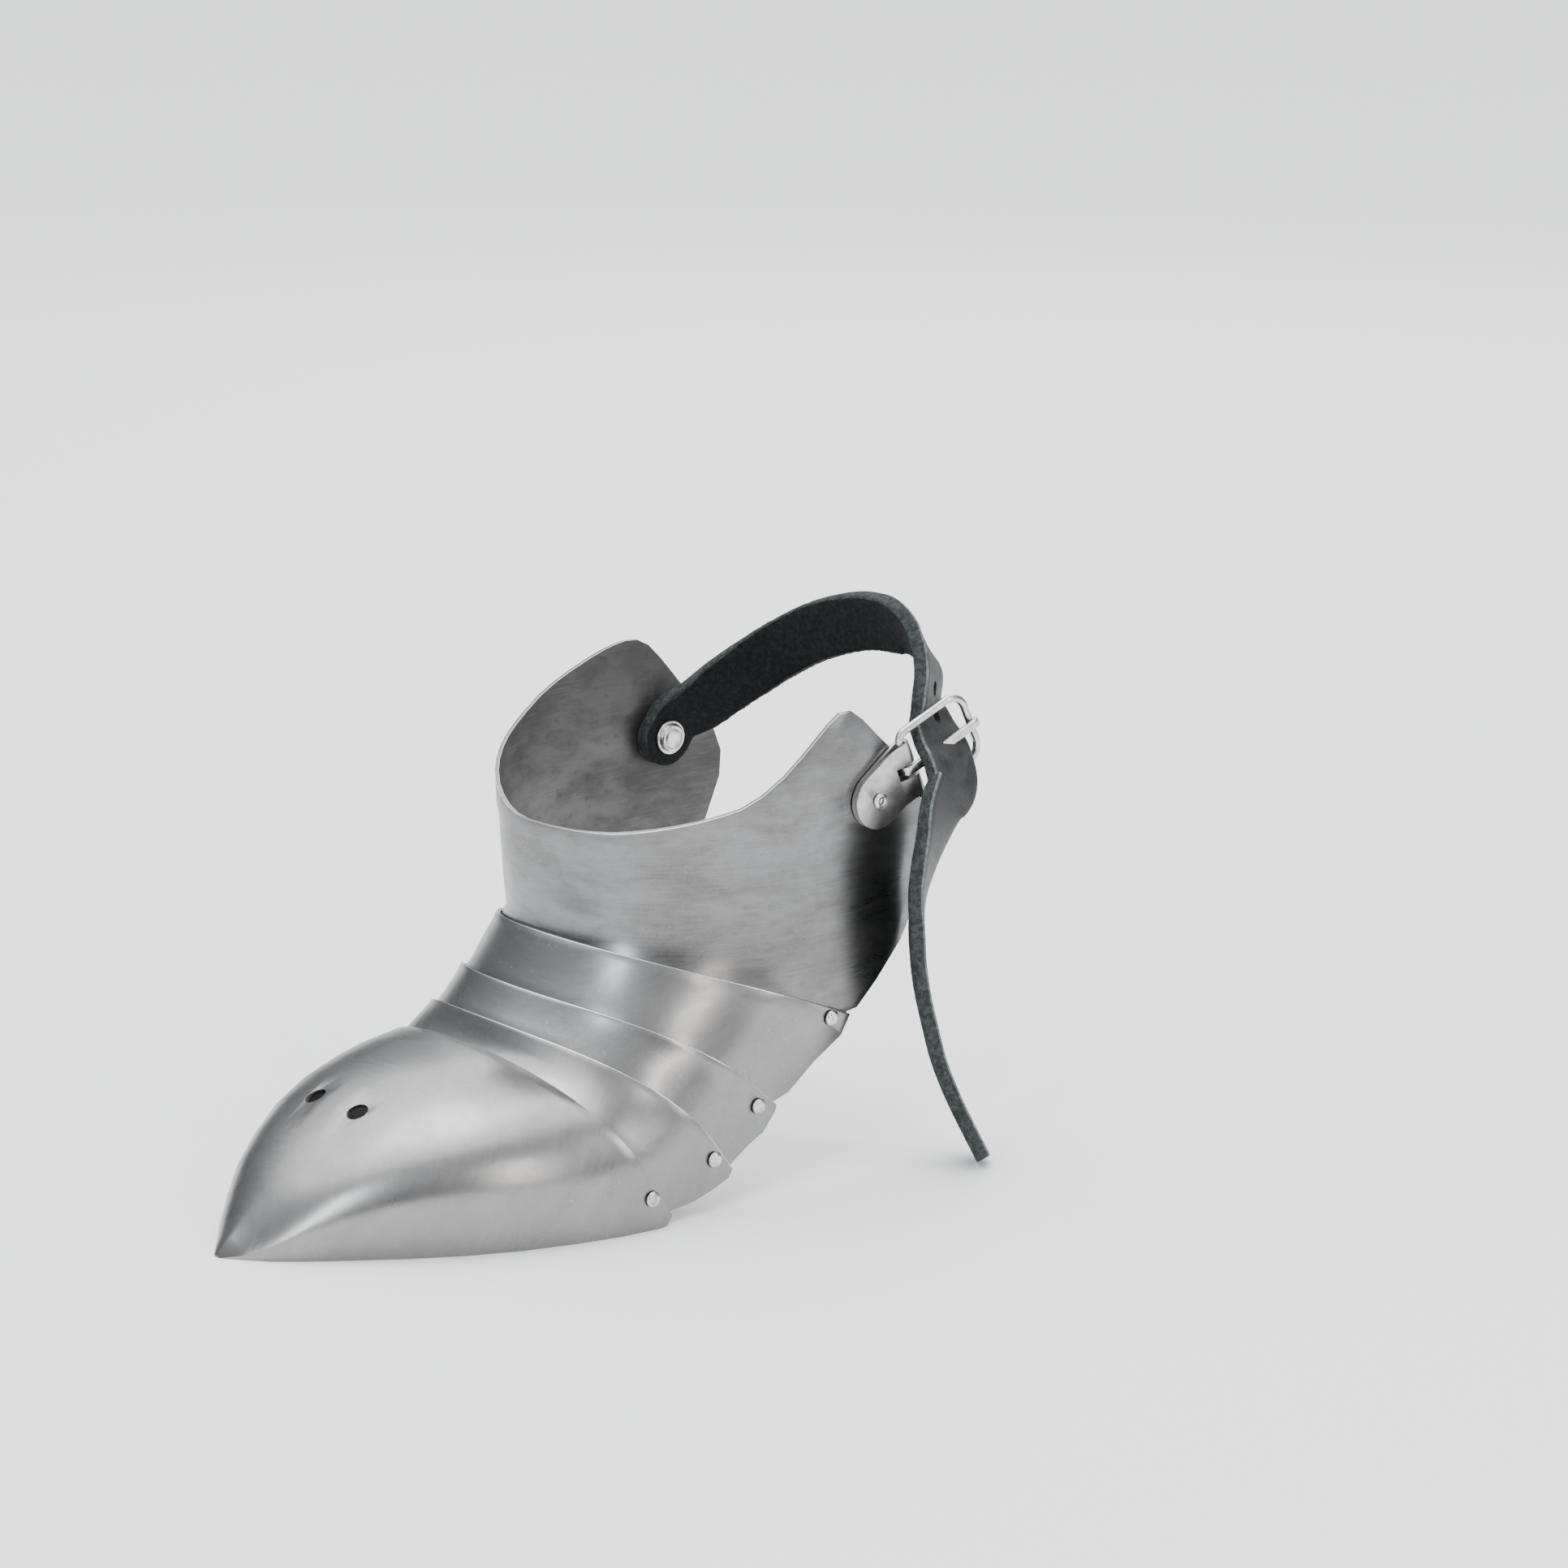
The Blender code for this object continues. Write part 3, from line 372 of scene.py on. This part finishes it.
def stands_for(thing, *nodes, slot_name):
    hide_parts(*nodes)
    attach(thing, BODY_OF[nodes[0]])


def faces_inside(face, axis_x):
    """True where a face looks towards the middle line of the foot."""
    inward = Vector((axis_x, 0.0, 0.0)) - Vector((face.center.x, face.center.y, 0.0))
    return face.normal.dot(Vector((inward.x, inward.y, -face.center.z * 0.5))) > 0.0


for node, lean in LEANS.items():
    plate = copied_from(node, node + "_steel")
    upright = node == "ankle_plate"
    outside = plate_steel(node + "_finish", lean, 0.20 if upright else 0.27,
                          0.75 if upright else 0.35, 0.9 if upright else 0.35)
    for finish in (outside, LINING, WORN_AND_HIGHLIGHT):
        plate.data.materials.append(finish)
    low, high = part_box(node)
    for face in plate.data.polygons:
        if upright:
            inside = faces_inside(face, 0.165)
        else:
            middle = Vector(((low.x + high.x) / 2.0 + 0.02, 0.0, 0.0))
            inside = face.normal.dot(middle - face.center) > 0.0
        face.material_index = 1 if inside else 0
    bevelled(plate, 0.25 * MM, 40.0, 2, 2)
    only(plate)
    bpy.ops.object.shade_smooth_by_angle(angle=math.radians(38.0))
    stands_for(plate, node, slot_name="plate_steel")
    print(plate.name, len(plate.data.polygons), "faces")

# %% [markdown]
# ## Rivets
# Every joint turns on a pair of soft steel rivets. A rivet starts as a rod with a round head;
# its other end is hammered flat inside the plates. The heads are all alike, so one is modelled
# by extruding a disc ring by ring, and copied. A small dent on top is the mark of the punch.


# %% Rivet finish
def rivet_steel(name):
    steel = Finish(name, Metallic=1.0)
    dents = steel.noise(steel.turned((700.0, 700.0, 700.0)), 3.0, 0.6)
    grime = steel.noise(steel.turned((330.0, 330.0, 330.0)), 4.0, 0.6)
    colour = steel.colours(steel.between(grime, 0.45, 0.62), grey(0.66), grey(0.40, 0.02))
    steel.feed(Base_Color=colour, Roughness=0.22 + steel.between(grime, 0.3, 0.7) * 0.2,
               Normal=steel.bump(dents, 0.00007, 0.7))
    return steel.material


RIVET_FINISH = rivet_steel("rivet_steel_finish")
print("rivet finish ready")


# %% Turned rivets
def raised(name, rings, sides=36):
    """A round piece raised along +Z from a disc: each ring is a radius and a height in mm."""
    only()
    bpy.ops.mesh.primitive_circle_add(vertices=sides, radius=rings[0][0] * MM,
                                      fill_type="NGON",
                                      location=(0.0, 0.0, rings[0][1] * MM))
    made = bpy.context.object
    made.name = name
    only(made)
    bpy.ops.object.transform_apply(location=True, rotation=True, scale=True)
    bpy.ops.object.mode_set(mode="EDIT")
    bpy.ops.mesh.select_all(action="SELECT")
    for (radius, height), (wider, higher) in zip(rings, rings[1:]):
        bpy.ops.mesh.extrude_region_move(
            TRANSFORM_OT_translate={"value": (0.0, 0.0, (higher - height) * MM)})
        share = wider / radius
        bpy.ops.transform.resize(value=(share, share, 1.0), center_override=(0.0, 0.0, 0.0))
    bpy.ops.mesh.select_all(action="SELECT")
    bpy.ops.mesh.normals_make_consistent(inside=False)
    bpy.ops.object.mode_set(mode="OBJECT")
    made.data.materials.append(RIVET_FINISH)
    bevelled(made, 0.10 * MM, 40.0)
    only(made)
    bpy.ops.object.shade_smooth_by_angle(angle=math.radians(50.0))
    return made


def set_in_place(thing, x, seat, z, facing, turn=0.0):
    """Stands a turned piece out along +Y or -Y from the seat, and puts that in its mesh."""
    out = Matrix.Rotation(-facing * math.pi / 2.0, 4, "X")
    only(thing)
    thing.matrix_world = Matrix.Translation((x, seat, z)) @ out @ Matrix.Rotation(turn, 4, "Z")
    bpy.ops.object.transform_apply(location=True, rotation=True, scale=True)


def copy_of(thing, name):
    made = thing.copy()
    made.data = thing.data.copy()
    made.name = name
    bpy.context.scene.collection.objects.link(made)
    return made


HINGE_RINGS = [(1.90, -3.90), (2.35, -3.75), (2.40, -3.10), (1.30, -3.08), (1.30, 0.28),
               (2.30, 0.30), (2.42, 0.48), (2.28, 0.86), (1.90, 1.16), (1.45, 1.33),
               (1.05, 1.37), (0.80, 1.30), (0.40, 1.22), (0.10, 1.20)]
HEAD_TOP = 1.4               # mm from the plate to the top of a head
SPREAD = random.Random(7)
pattern = raised("rivet_pattern", HINGE_RINGS)
for label in ("toe", "lame_3", "lame_2", "lame_1"):
    for place, facing in (("near", -1.0), ("far", 1.0)):
        node = f"rivet_{label}_{place}"
        low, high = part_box(node)
        seat = (low.y if facing < 0.0 else high.y) - facing * HEAD_TOP * MM
        rivet = copy_of(pattern, node + "_head")
        set_in_place(rivet, (low.x + high.x) / 2.0, seat, (low.z + high.z) / 2.0, facing,
                     SPREAD.uniform(0.0, 6.28))
        stands_for(rivet, node, slot_name="rivet_steel")
bpy.data.objects.remove(pattern)
print("hinge rivets: 8, each", len(rivet.data.polygons), "faces")

# %% Rivets of the strap and the chape
CAP_RINGS = [(2.00, -7.05), (2.40, -6.95), (2.40, -6.32), (1.30, -6.30), (1.30, 0.28),
             (5.05, 0.30), (5.20, 0.45), (5.20, 0.75), (5.05, 0.90), (4.35, 0.90),
             (4.30, 1.15), (4.25, 1.65), (4.00, 1.95), (3.60, 2.08), (3.25, 2.06),
             (3.10, 1.92), (2.90, 1.92), (2.70, 2.05), (1.50, 2.16), (0.20, 2.20)]
low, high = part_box("rivet_strap")
cap = raised("strap_cap_rivet", CAP_RINGS, 56)
EAR_X = (low.x + high.x) / 2.0
EAR_Z = (low.z + high.z) / 2.0
set_in_place(cap, EAR_X, low.y + 2.3 * MM, EAR_Z, -1.0)
stands_for(cap, "rivet_strap", slot_name="rivet_steel")
CHAPE_RINGS = [(1.90, -2.25), (2.35, -2.15), (2.40, -1.52), (1.30, -1.50), (1.30, 2.93),
               (2.30, 2.95), (2.42, 3.15), (2.35, 3.50), (2.00, 3.80), (1.55, 3.95),
               (1.30, 3.97), (1.15, 3.80), (0.75, 3.72), (0.60, 3.84), (0.15, 3.88)]
low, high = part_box("rivet_chape")
tube_end = raised("chape_tube_rivet", CHAPE_RINGS, 44)
set_in_place(tube_end, EAR_X, low.y + 4.05 * MM, EAR_Z, -1.0)
stands_for(tube_end, "rivet_chape", slot_name="rivet_steel")
print("cap rivet spans", [round(v, 4) for v in cap.dimensions])

# %% [markdown]
# ## Buckle
# A strip of bright sheet is folded round the buckle's bar and riveted to the ear: that is the
# chape. The buckle's frame is a bent wire, and the prong is a flat strip curled round its bar.
# The wire is drawn as a plane whose corners are bevelled round, made a curve and given a
# thickness. The chape and the prong keep their CAD shape, with finely bevelled edges.


# %% Buckle finishes
def buckle_steel(name, level, sharp):
    steel = Finish(name, Metallic=1.0)
    lines = steel.noise(steel.turned((150.0, 150.0, 2600.0), (0.0, 0.66, 0.0)), 3.0, 0.6)
    smears = steel.noise(steel.turned((240.0, 240.0, 240.0)), 5.0, 0.65, 0.8)
    pits = steel.noise(steel.turned((1500.0, 1500.0, 1500.0)), 2.0)
    colour = steel.colours(steel.between(smears, 0.35, 0.68), grey(level, 0.004),
                           grey(level * 0.74, 0.02))
    colour = steel.colours(steel.between(lines, 0.52, 0.80) * 0.5, colour, grey(level * 1.4))
    rough = sharp + steel.between(smears, 0.3, 0.7) * 0.14
    height = lines * 0.6 + steel.between(pits, 0.3, 0.45) * 0.4
    steel.feed(Base_Color=colour, Roughness=rough, Normal=steel.bump(height, 0.00003, 0.6))
    return steel.material


WIRE_FINISH = buckle_steel("wire_steel", 0.60, 0.20)
SHEET_FINISH = buckle_steel("chape_steel", 0.58, 0.30)
print("buckle finishes ready")

# %% Frame of the buckle
WIRE = 1.2                   # mm, radius of the wire
FRAME_SIZE = (25.0, 22.0)    # mm, along the strap's pull and across
CORNER = 2.7                 # beside the bar
FAR_CORNER = 5.5             # where the prong rests
LEAN = math.radians(24.0)
SWING = math.radians(2.0)
OUT = Vector((0.0, -1.0, 0.0))
BAR = Vector((math.sin(LEAN), 0.0, -math.cos(LEAN)))
OFF_BAR = Vector((math.cos(LEAN), 0.0, math.sin(LEAN)))
ALONG = (OFF_BAR * math.cos(SWING) + OUT * math.sin(SWING)).normalized()
OUTWARD = BAR.cross(ALONG).normalized()
TONGUE = Vector((math.cos(math.radians(37.8)), 0.0, math.sin(math.radians(37.8))))
EAR_RIVET = Vector((EAR_X, 0.0, EAR_Z))
BAR_CENTRE = EAR_RIVET + TONGUE * 13.5 * MM + OUT * (51.85 + 2.05) * MM
FRAME_CENTRE = BAR_CENTRE + ALONG * FRAME_SIZE[0] / 2.0 * MM
only()
bpy.ops.mesh.primitive_plane_add(size=1.0)
wire = bpy.context.object
wire.name = "buckle_wire"
wire.scale = (FRAME_SIZE[0] * MM, FRAME_SIZE[1] * MM, 1.0)
bpy.ops.object.transform_apply(scale=True)
for side, radius in ((1.0, FAR_CORNER), (-1.0, CORNER)):
    only(wire)
    bpy.ops.object.mode_set(mode="EDIT")
    bpy.ops.mesh.select_all(action="DESELECT")
    bpy.ops.object.mode_set(mode="OBJECT")
    for corner in wire.data.vertices:
        corner.select = abs(corner.co.x - side * FRAME_SIZE[0] / 2.0 * MM) < 0.01 * MM
    bpy.ops.object.mode_set(mode="EDIT")
    bpy.ops.mesh.select_mode(type="VERT")
    bpy.ops.mesh.bevel(offset=radius * MM, segments=9, affect="VERTICES")
    bpy.ops.object.mode_set(mode="OBJECT")
edit(wire, lambda: bpy.ops.mesh.delete(type="ONLY_FACE"))
only(wire)
bpy.ops.object.convert(target="CURVE")
wire.data.bevel_depth = WIRE * MM
wire.data.bevel_resolution = 6
bpy.ops.object.convert(target="MESH")
turn = Matrix((ALONG, BAR, ALONG.cross(BAR))).transposed().to_4x4()
wire.matrix_world = Matrix.Translation(FRAME_CENTRE) @ turn
only(wire)
bpy.ops.object.transform_apply(location=True, rotation=True, scale=True)
edit(wire, lambda: bpy.ops.mesh.remove_doubles(threshold=0.00001),
     lambda: bpy.ops.mesh.normals_make_consistent(inside=False))
only(wire)
bpy.ops.object.shade_smooth_by_angle(angle=math.radians(60.0))
wire.data.materials.clear()
wire.data.materials.append(WIRE_FINISH)
stands_for(wire, "buckle_frame", slot_name="buckle_steel")
print("frame of the buckle", len(wire.data.polygons), "faces, centre",
      [round(v, 4) for v in FRAME_CENTRE])

# %% Chape and prong
for node, finish, soft in (("buckle_chape", SHEET_FINISH, 0.22),
                           ("buckle_prong", WIRE_FINISH, 0.28)):
    strip = copied_from(node, node + "_steel")
    strip.data.materials.append(finish)
    strip.data.materials.append(WORN_AND_HIGHLIGHT)
    bevelled(strip, soft * MM, 50.0, 3, 1)
    only(strip)
    bpy.ops.object.shade_smooth_by_angle(angle=math.radians(45.0))
    stands_for(strip, node, slot_name="buckle_steel")
    print(strip.name, len(strip.data.polygons), "faces")

# %% [markdown]
# ## Strap
# The strap is thick black leather: smooth grain outside, dark suede inside, and cut edges that
# show pale green-grey fibres. The lighter line along each edge where the grain ends is a painted
# highlight. A strap bends but never stretches, so it is swept along its middle line: at each
# short step a ring of points, with the width turned the way the leather twists. The edge points
# are moved a little, as cut fibres are, and the two punched holes above the buckle are cut last.

# %% Leather finishes


def grain_leather(name):
    hide = Finish(name, Specular_IOR_Level=0.42)
    pores = hide.node("ShaderNodeTexVoronoi", {"feature": "F1"},
                      {"Vector": hide.turned((2300.0, 2300.0, 2300.0)), "Scale": 1.0})
    waves = hide.noise(hide.turned((170.0, 170.0, 170.0)), 5.0, 0.62, 0.5)
    length = hide.node("ShaderNodeUVMap", {"uv_map": "strap"})
    creases = hide.noise(hide.turned((900.0, 55.0, 1.0), place=length), 4.0, 0.6, 0.4)
    dust = hide.noise(hide.turned((900.0, 900.0, 900.0)), 3.0, 0.7)
    colour = hide.colours(hide.between(waves, 0.35, 0.7), (0.010, 0.011, 0.012, 1.0),
                          (0.030, 0.032, 0.034, 1.0))
    colour = hide.colours(hide.between(dust, 0.60, 0.76) * 0.35, colour,
                          (0.085, 0.088, 0.085, 1.0))
    rough = 0.42 + hide.between(waves, 0.3, 0.7) * 0.16 + hide.between(dust, 0.4, 0.7) * 0.08
    height = hide.between(pores, 0.0, 0.6) * 0.35 + creases * 0.9 + waves * 0.3
    hide.feed(Base_Color=colour, Roughness=rough, Normal=hide.bump(height, 0.00012, 0.55))
    return hide.material


def suede_leather(name):
    nap = Finish(name, Specular_IOR_Level=0.25)
    fibres = nap.noise(nap.turned((1400.0, 1400.0, 1400.0)), 5.0, 0.75)
    tufts = nap.noise(nap.turned((620.0, 620.0, 620.0)), 6.0, 0.75, 0.2)
    colour = nap.colours(nap.between(tufts, 0.40, 0.66), (0.004, 0.005, 0.0055, 1.0),
                         (0.014, 0.017, 0.018, 1.0))
    colour = nap.colours(nap.between(fibres, 0.60, 0.75) * 0.5, colour,
                         (0.048, 0.055, 0.055, 1.0))
    nap.feed(Base_Color=colour, Roughness=0.86 + fibres * 0.12,
             Normal=nap.bump(fibres * 0.5 + tufts, 0.00035, 0.9))
    return nap.material


def cut_leather(name, dark, light, shine):
    cut = Finish(name, Specular_IOR_Level=0.3)
    fibres = cut.noise(cut.turned((1900.0, 1900.0, 1900.0)), 4.0, 0.75)
    layers = cut.noise(cut.turned((520.0, 520.0, 520.0)), 4.0, 0.7, 0.7)
    colour = cut.colours(cut.between(layers, 0.36, 0.66), dark, light)
    colour = cut.colours(cut.between(fibres, 0.56, 0.72) * 0.6, colour,
                         tuple(min(channel * 1.9, 1.0) for channel in light[:3]) + (1.0,))
    cut.feed(Base_Color=colour, Roughness=shine + fibres * 0.2,
             Normal=cut.bump(fibres + layers, 0.00030, 0.9))
    return cut.material


GRAIN = grain_leather("grain_leather")
SUEDE = suede_leather("suede_leather")
RAW = cut_leather("raw_edge", (0.013, 0.017, 0.018, 1.0), (0.047, 0.057, 0.058, 1.0), 0.72)
# The grain rim's lighter colours are a painted highlight on the edge where the grain ends.
PAINTED_RIM_HIGHLIGHT = cut_leather("grain_rim_painted_highlight", (0.070, 0.080, 0.081, 1.0), (0.170, 0.187, 0.188, 1.0), 0.45)
print("leather finishes ready")

# %% Route of the strap
STRAP_WIDTH = 18.0           # mm
STRAP_THICK = 4.5
EAR_HALF = 51.0              # mm from the middle line to the outside of an ear
REACH = 25.8
ARCH = 44.8
RIVET_UP = EAR_Z / MM
LOOP = [
    # back   side   up     then the way the width points, from lower to upper edge
    (0.365, 0.824, 0.207, -0.68, 0.12, 0.72), (0.564, 0.686, 0.360, -0.55, 0.25, 0.80),
    (0.749, 0.549, 0.497, -0.42, 0.35, 0.83), (0.878, 0.333, 0.665, -0.25, 0.40, 0.87),
    (1.008, 0.098, 0.813, -0.10, 0.10, 0.96), (1.084, -0.196, 0.927, -0.20, -0.15, 0.95),
    (1.081, -0.431, 0.969, -0.28, -0.34, 0.90), (1.044, -0.627, 0.968, -0.42, -0.48, 0.78),
    (1.075, -0.755, 0.876, -0.62, -0.57, 0.50), (1.065, -0.843, 0.750, -0.77, -0.52, 0.34),
]
IN_BUCKLE = [
    # along  down   out
    (0.27, -0.46, -0.38, -0.80, -0.54, 0.15), (0.15, -0.21, -0.26, -0.93, -0.26, 0.16),
    (0.03, 0.00, 0.00, -0.98, 0.03, 0.20), (-0.08, 0.19, 0.22, -0.97, -0.05, 0.20),
    (-0.19, 0.41, 0.33, -0.97, -0.12, 0.20),
]
TAIL = [
    # back   side   height
    (0.620, -1.235, 0.979, -0.95, -0.22, 0.20), (0.480, -1.235, 0.902, -0.86, -0.46, 0.23),
    (0.375, -1.228, 0.831, -0.77, -0.59, 0.24), (0.300, -1.220, 0.754, -0.69, -0.68, 0.25),
    (0.285, -1.216, 0.665, -0.61, -0.75, 0.25), (0.299, -1.220, 0.576, -0.61, -0.75, 0.25),
    (0.343, -1.231, 0.486, -0.61, -0.75, 0.25), (0.422, -1.251, 0.391, -0.61, -0.75, 0.25),
    (0.513, -1.278, 0.293, -0.61, -0.75, 0.25), (0.633, -1.310, 0.207, -0.61, -0.75, 0.25),
    (0.760, -1.345, 0.131, -0.61, -0.75, 0.25), (0.985, -1.400, 0.012, -0.61, -0.75, 0.25),
]
start = Vector((0.62, 0.0, 0.78)).normalized()
rivet_point = EAR_RIVET + Vector((0.0, EAR_HALF - 1.5 - STRAP_THICK / 2.0, 0.0)) * MM
points = [rivet_point - start * STRAP_WIDTH / 2.0 * MM, rivet_point,
          rivet_point + start * 6.48 * MM - Vector((0.0, 0.5, 0.0)) * MM]
widths = [Vector((-start.z, 0.0, start.x))] * 3
for back, aside, up, *width in LOOP:
    points.append(EAR_RIVET + Vector((back * REACH, aside * EAR_HALF, up * ARCH)) * MM)
    widths.append(Vector(width))
for along, down, out, *width in IN_BUCKLE:
    points.append(FRAME_CENTRE + (ALONG * along * FRAME_SIZE[0] + BAR * down * FRAME_SIZE[1]
                                  + OUTWARD * out * FRAME_SIZE[1]) * MM)
    widths.append(Vector(width))
for back, aside, height, *width in TAIL:
    points.append(Vector((EAR_X + back * REACH * MM, aside * EAR_HALF * MM,
                          height * RIVET_UP * MM)))
    widths.append(Vector(width))
print("route through", len(points), "points")


# %% Smooth route
def smooth_line(knots, steps):
    """Catmull-Rom curve through the knots."""
    padded = [knots[0] * 2.0 - knots[1]] + knots + [knots[-1] * 2.0 - knots[-2]]
    line = []
    for i in range(1, len(padded) - 2):
        before, begin, end, after = padded[i - 1:i + 3]
        for step in range(steps):
            t = step / steps
            line.append(0.5 * (2.0 * begin + (end - before) * t
                               + (2.0 * before - 5.0 * begin + 4.0 * end - after) * t ** 2
                               + (3.0 * begin - 3.0 * end + after - before) * t ** 3))
    line.append(knots[-1].copy())
    return line


line = smooth_line(points, 24)
line_widths = smooth_line(widths, 24)
lengths = [0.0]
for begin, end in zip(line, line[1:]):
    lengths.append(lengths[-1] + (end - begin).length)
STRAP_LENGTH = lengths[-1]
print("strap is", round(STRAP_LENGTH, 4), "m long")


def station(length):
    """Centre, forward, across and outward directions at a length from the riveted end."""
    low = 0
    while low < len(lengths) - 2 and lengths[low + 1] < length:
        low += 1
    share = (length - lengths[low]) / (lengths[low + 1] - lengths[low])
    centre = line[low].lerp(line[low + 1], share)
    forward = (line[min(low + 4, len(line) - 1)] - line[max(low - 3, 0)]).normalized()
    width = line_widths[low].lerp(line_widths[low + 1], share)
    across = (width - forward * width.dot(forward)).normalized()
    return centre, forward, across, across.cross(forward)


# %% Strap
SUEDE_SIDE, RAW_SIDE, PAINTED_RIM_SIDE, GRAIN_SIDE = 0, 1, 2, 3
RING = []                    # shares of the half width and half thickness, and the finish
for i in range(9):
    RING.append((-0.92 + 1.84 * i / 8, -1.0, SUEDE_SIDE if i < 8 else RAW_SIDE))
# The faces beside the grain on both edges take the rim finish, whose lighter colour is a painted
# highlight.
RING += [(0.975, -0.82, RAW_SIDE), (1.0, -0.45, RAW_SIDE), (1.0, 0.0, RAW_SIDE),
         (1.0, 0.45, RAW_SIDE), (0.988, 0.74, PAINTED_RIM_SIDE), (0.955, 0.93, PAINTED_RIM_SIDE)]
for i in range(9):
    RING.append((0.92 - 1.84 * i / 8, 1.0, GRAIN_SIDE if i < 8 else PAINTED_RIM_SIDE))
RING += [(-0.955, 0.93, PAINTED_RIM_SIDE), (-0.988, 0.74, RAW_SIDE), (-1.0, 0.45, RAW_SIDE),
         (-1.0, 0.0, RAW_SIDE), (-1.0, -0.45, RAW_SIDE), (-0.975, -0.82, RAW_SIDE)]
STRAP_STEP = 0.75 * MM
RADIUS = STRAP_WIDTH / 2.0 * MM
END_SHARES = (0.004, 0.02, 0.05, 0.10, 0.17, 0.26, 0.36, 0.48, 0.62, 0.80, 1.00)


def half_at(length):
    """Half width of the strap, narrowing to its two round ends."""
    from_end = min(length, STRAP_LENGTH - length)
    if from_end >= RADIUS:
        return RADIUS
    return math.sqrt(max(RADIUS ** 2 - (RADIUS - from_end) ** 2, 0.0))


count = round((STRAP_LENGTH - 2.0 * RADIUS) / STRAP_STEP)
stops = [RADIUS * share for share in END_SHARES]
stops += [RADIUS + (STRAP_LENGTH - 2.0 * RADIUS) * i / count for i in range(1, count)]
stops += [STRAP_LENGTH - RADIUS * share for share in END_SHARES[::-1]]
vertices = []
for length in stops:
    centre, forward, across, outward = station(length)
    half = half_at(length)
    for side, deep, finish in RING:
        ragged = 0.0
        if finish == RAW_SIDE and abs(side) > 0.9:
            ragged = SPREAD.uniform(-0.16, 0.14) * MM
        lift = SPREAD.uniform(-0.05, 0.05) * MM if finish == SUEDE_SIDE else 0.0
        reach = half + ragged if half > 1.0 * MM else half
        vertices.append(centre + across * side * reach
                        + outward * (deep * STRAP_THICK / 2.0 * MM + lift))
around = len(RING)
faces = []
finishes = []
for r in range(len(stops) - 1):
    for i in range(around):
        j = (i + 1) % around
        faces.append((r * around + i, r * around + j, (r + 1) * around + j,
                      (r + 1) * around + i))
        finishes.append(RING[i][2])
faces.append(tuple(range(around))[::-1])
faces.append(tuple((len(stops) - 1) * around + i for i in range(around)))
finishes += [RAW_SIDE, RAW_SIDE]
strap_mesh = bpy.data.meshes.new("leather_strap")
strap_mesh.from_pydata(vertices, [], faces)
uv = strap_mesh.uv_layers.new(name="strap")
for face, finish in zip(strap_mesh.polygons, finishes):
    face.material_index = finish
    for corner in face.loop_indices:
        ring, place = divmod(strap_mesh.loops[corner].vertex_index, around)
        uv.data[corner].uv = (stops[ring], RING[place][0] * RADIUS)
for finish in (SUEDE, RAW, PAINTED_RIM_HIGHLIGHT, GRAIN):
    strap_mesh.materials.append(finish)
strap = bpy.data.objects.new("leather_strap", strap_mesh)
bpy.context.scene.collection.objects.link(strap)
edit(strap, lambda: bpy.ops.mesh.normals_make_consistent(inside=False))
print("strap has", len(strap_mesh.polygons), "faces")


# %% Holes in the strap
def punch(thing, length, long_side, short_side, finish):
    """Cuts an oval hole through the strap at a length along it."""
    centre, forward, across, outward = station(length)
    only()
    bpy.ops.mesh.primitive_cylinder_add(vertices=28, radius=0.5 * MM, depth=16.0 * MM)
    cutter = bpy.context.object
    cutter.data.materials.append(finish)
    turn = Matrix((forward, outward.cross(forward), outward)).transposed().to_4x4()
    stretch = Matrix.Diagonal((long_side, short_side, 1.0, 1.0))
    cutter.matrix_world = Matrix.Translation(centre) @ turn @ stretch
    hole = thing.modifiers.new("hole", "BOOLEAN")
    hole.operation = "DIFFERENCE"
    hole.solver = "EXACT"
    hole.material_mode = "TRANSFER"
    hole.object = cutter
    apply_all(thing)
    bpy.data.objects.remove(cutter)


nearest = min(range(len(line)), key=lambda i: (line[i] - FRAME_CENTRE).length)
for steps_up in (1, 2):
    punch(strap, lengths[nearest] - steps_up * 9.0 * MM, 4.6, 3.2, RAW)
only(strap)
bpy.ops.object.shade_smooth_by_angle(angle=math.radians(48.0))
stands_for(strap, "ankle_strap", slot_name="black_leather")
print("strap after its holes:", len(strap.data.polygons), "faces")
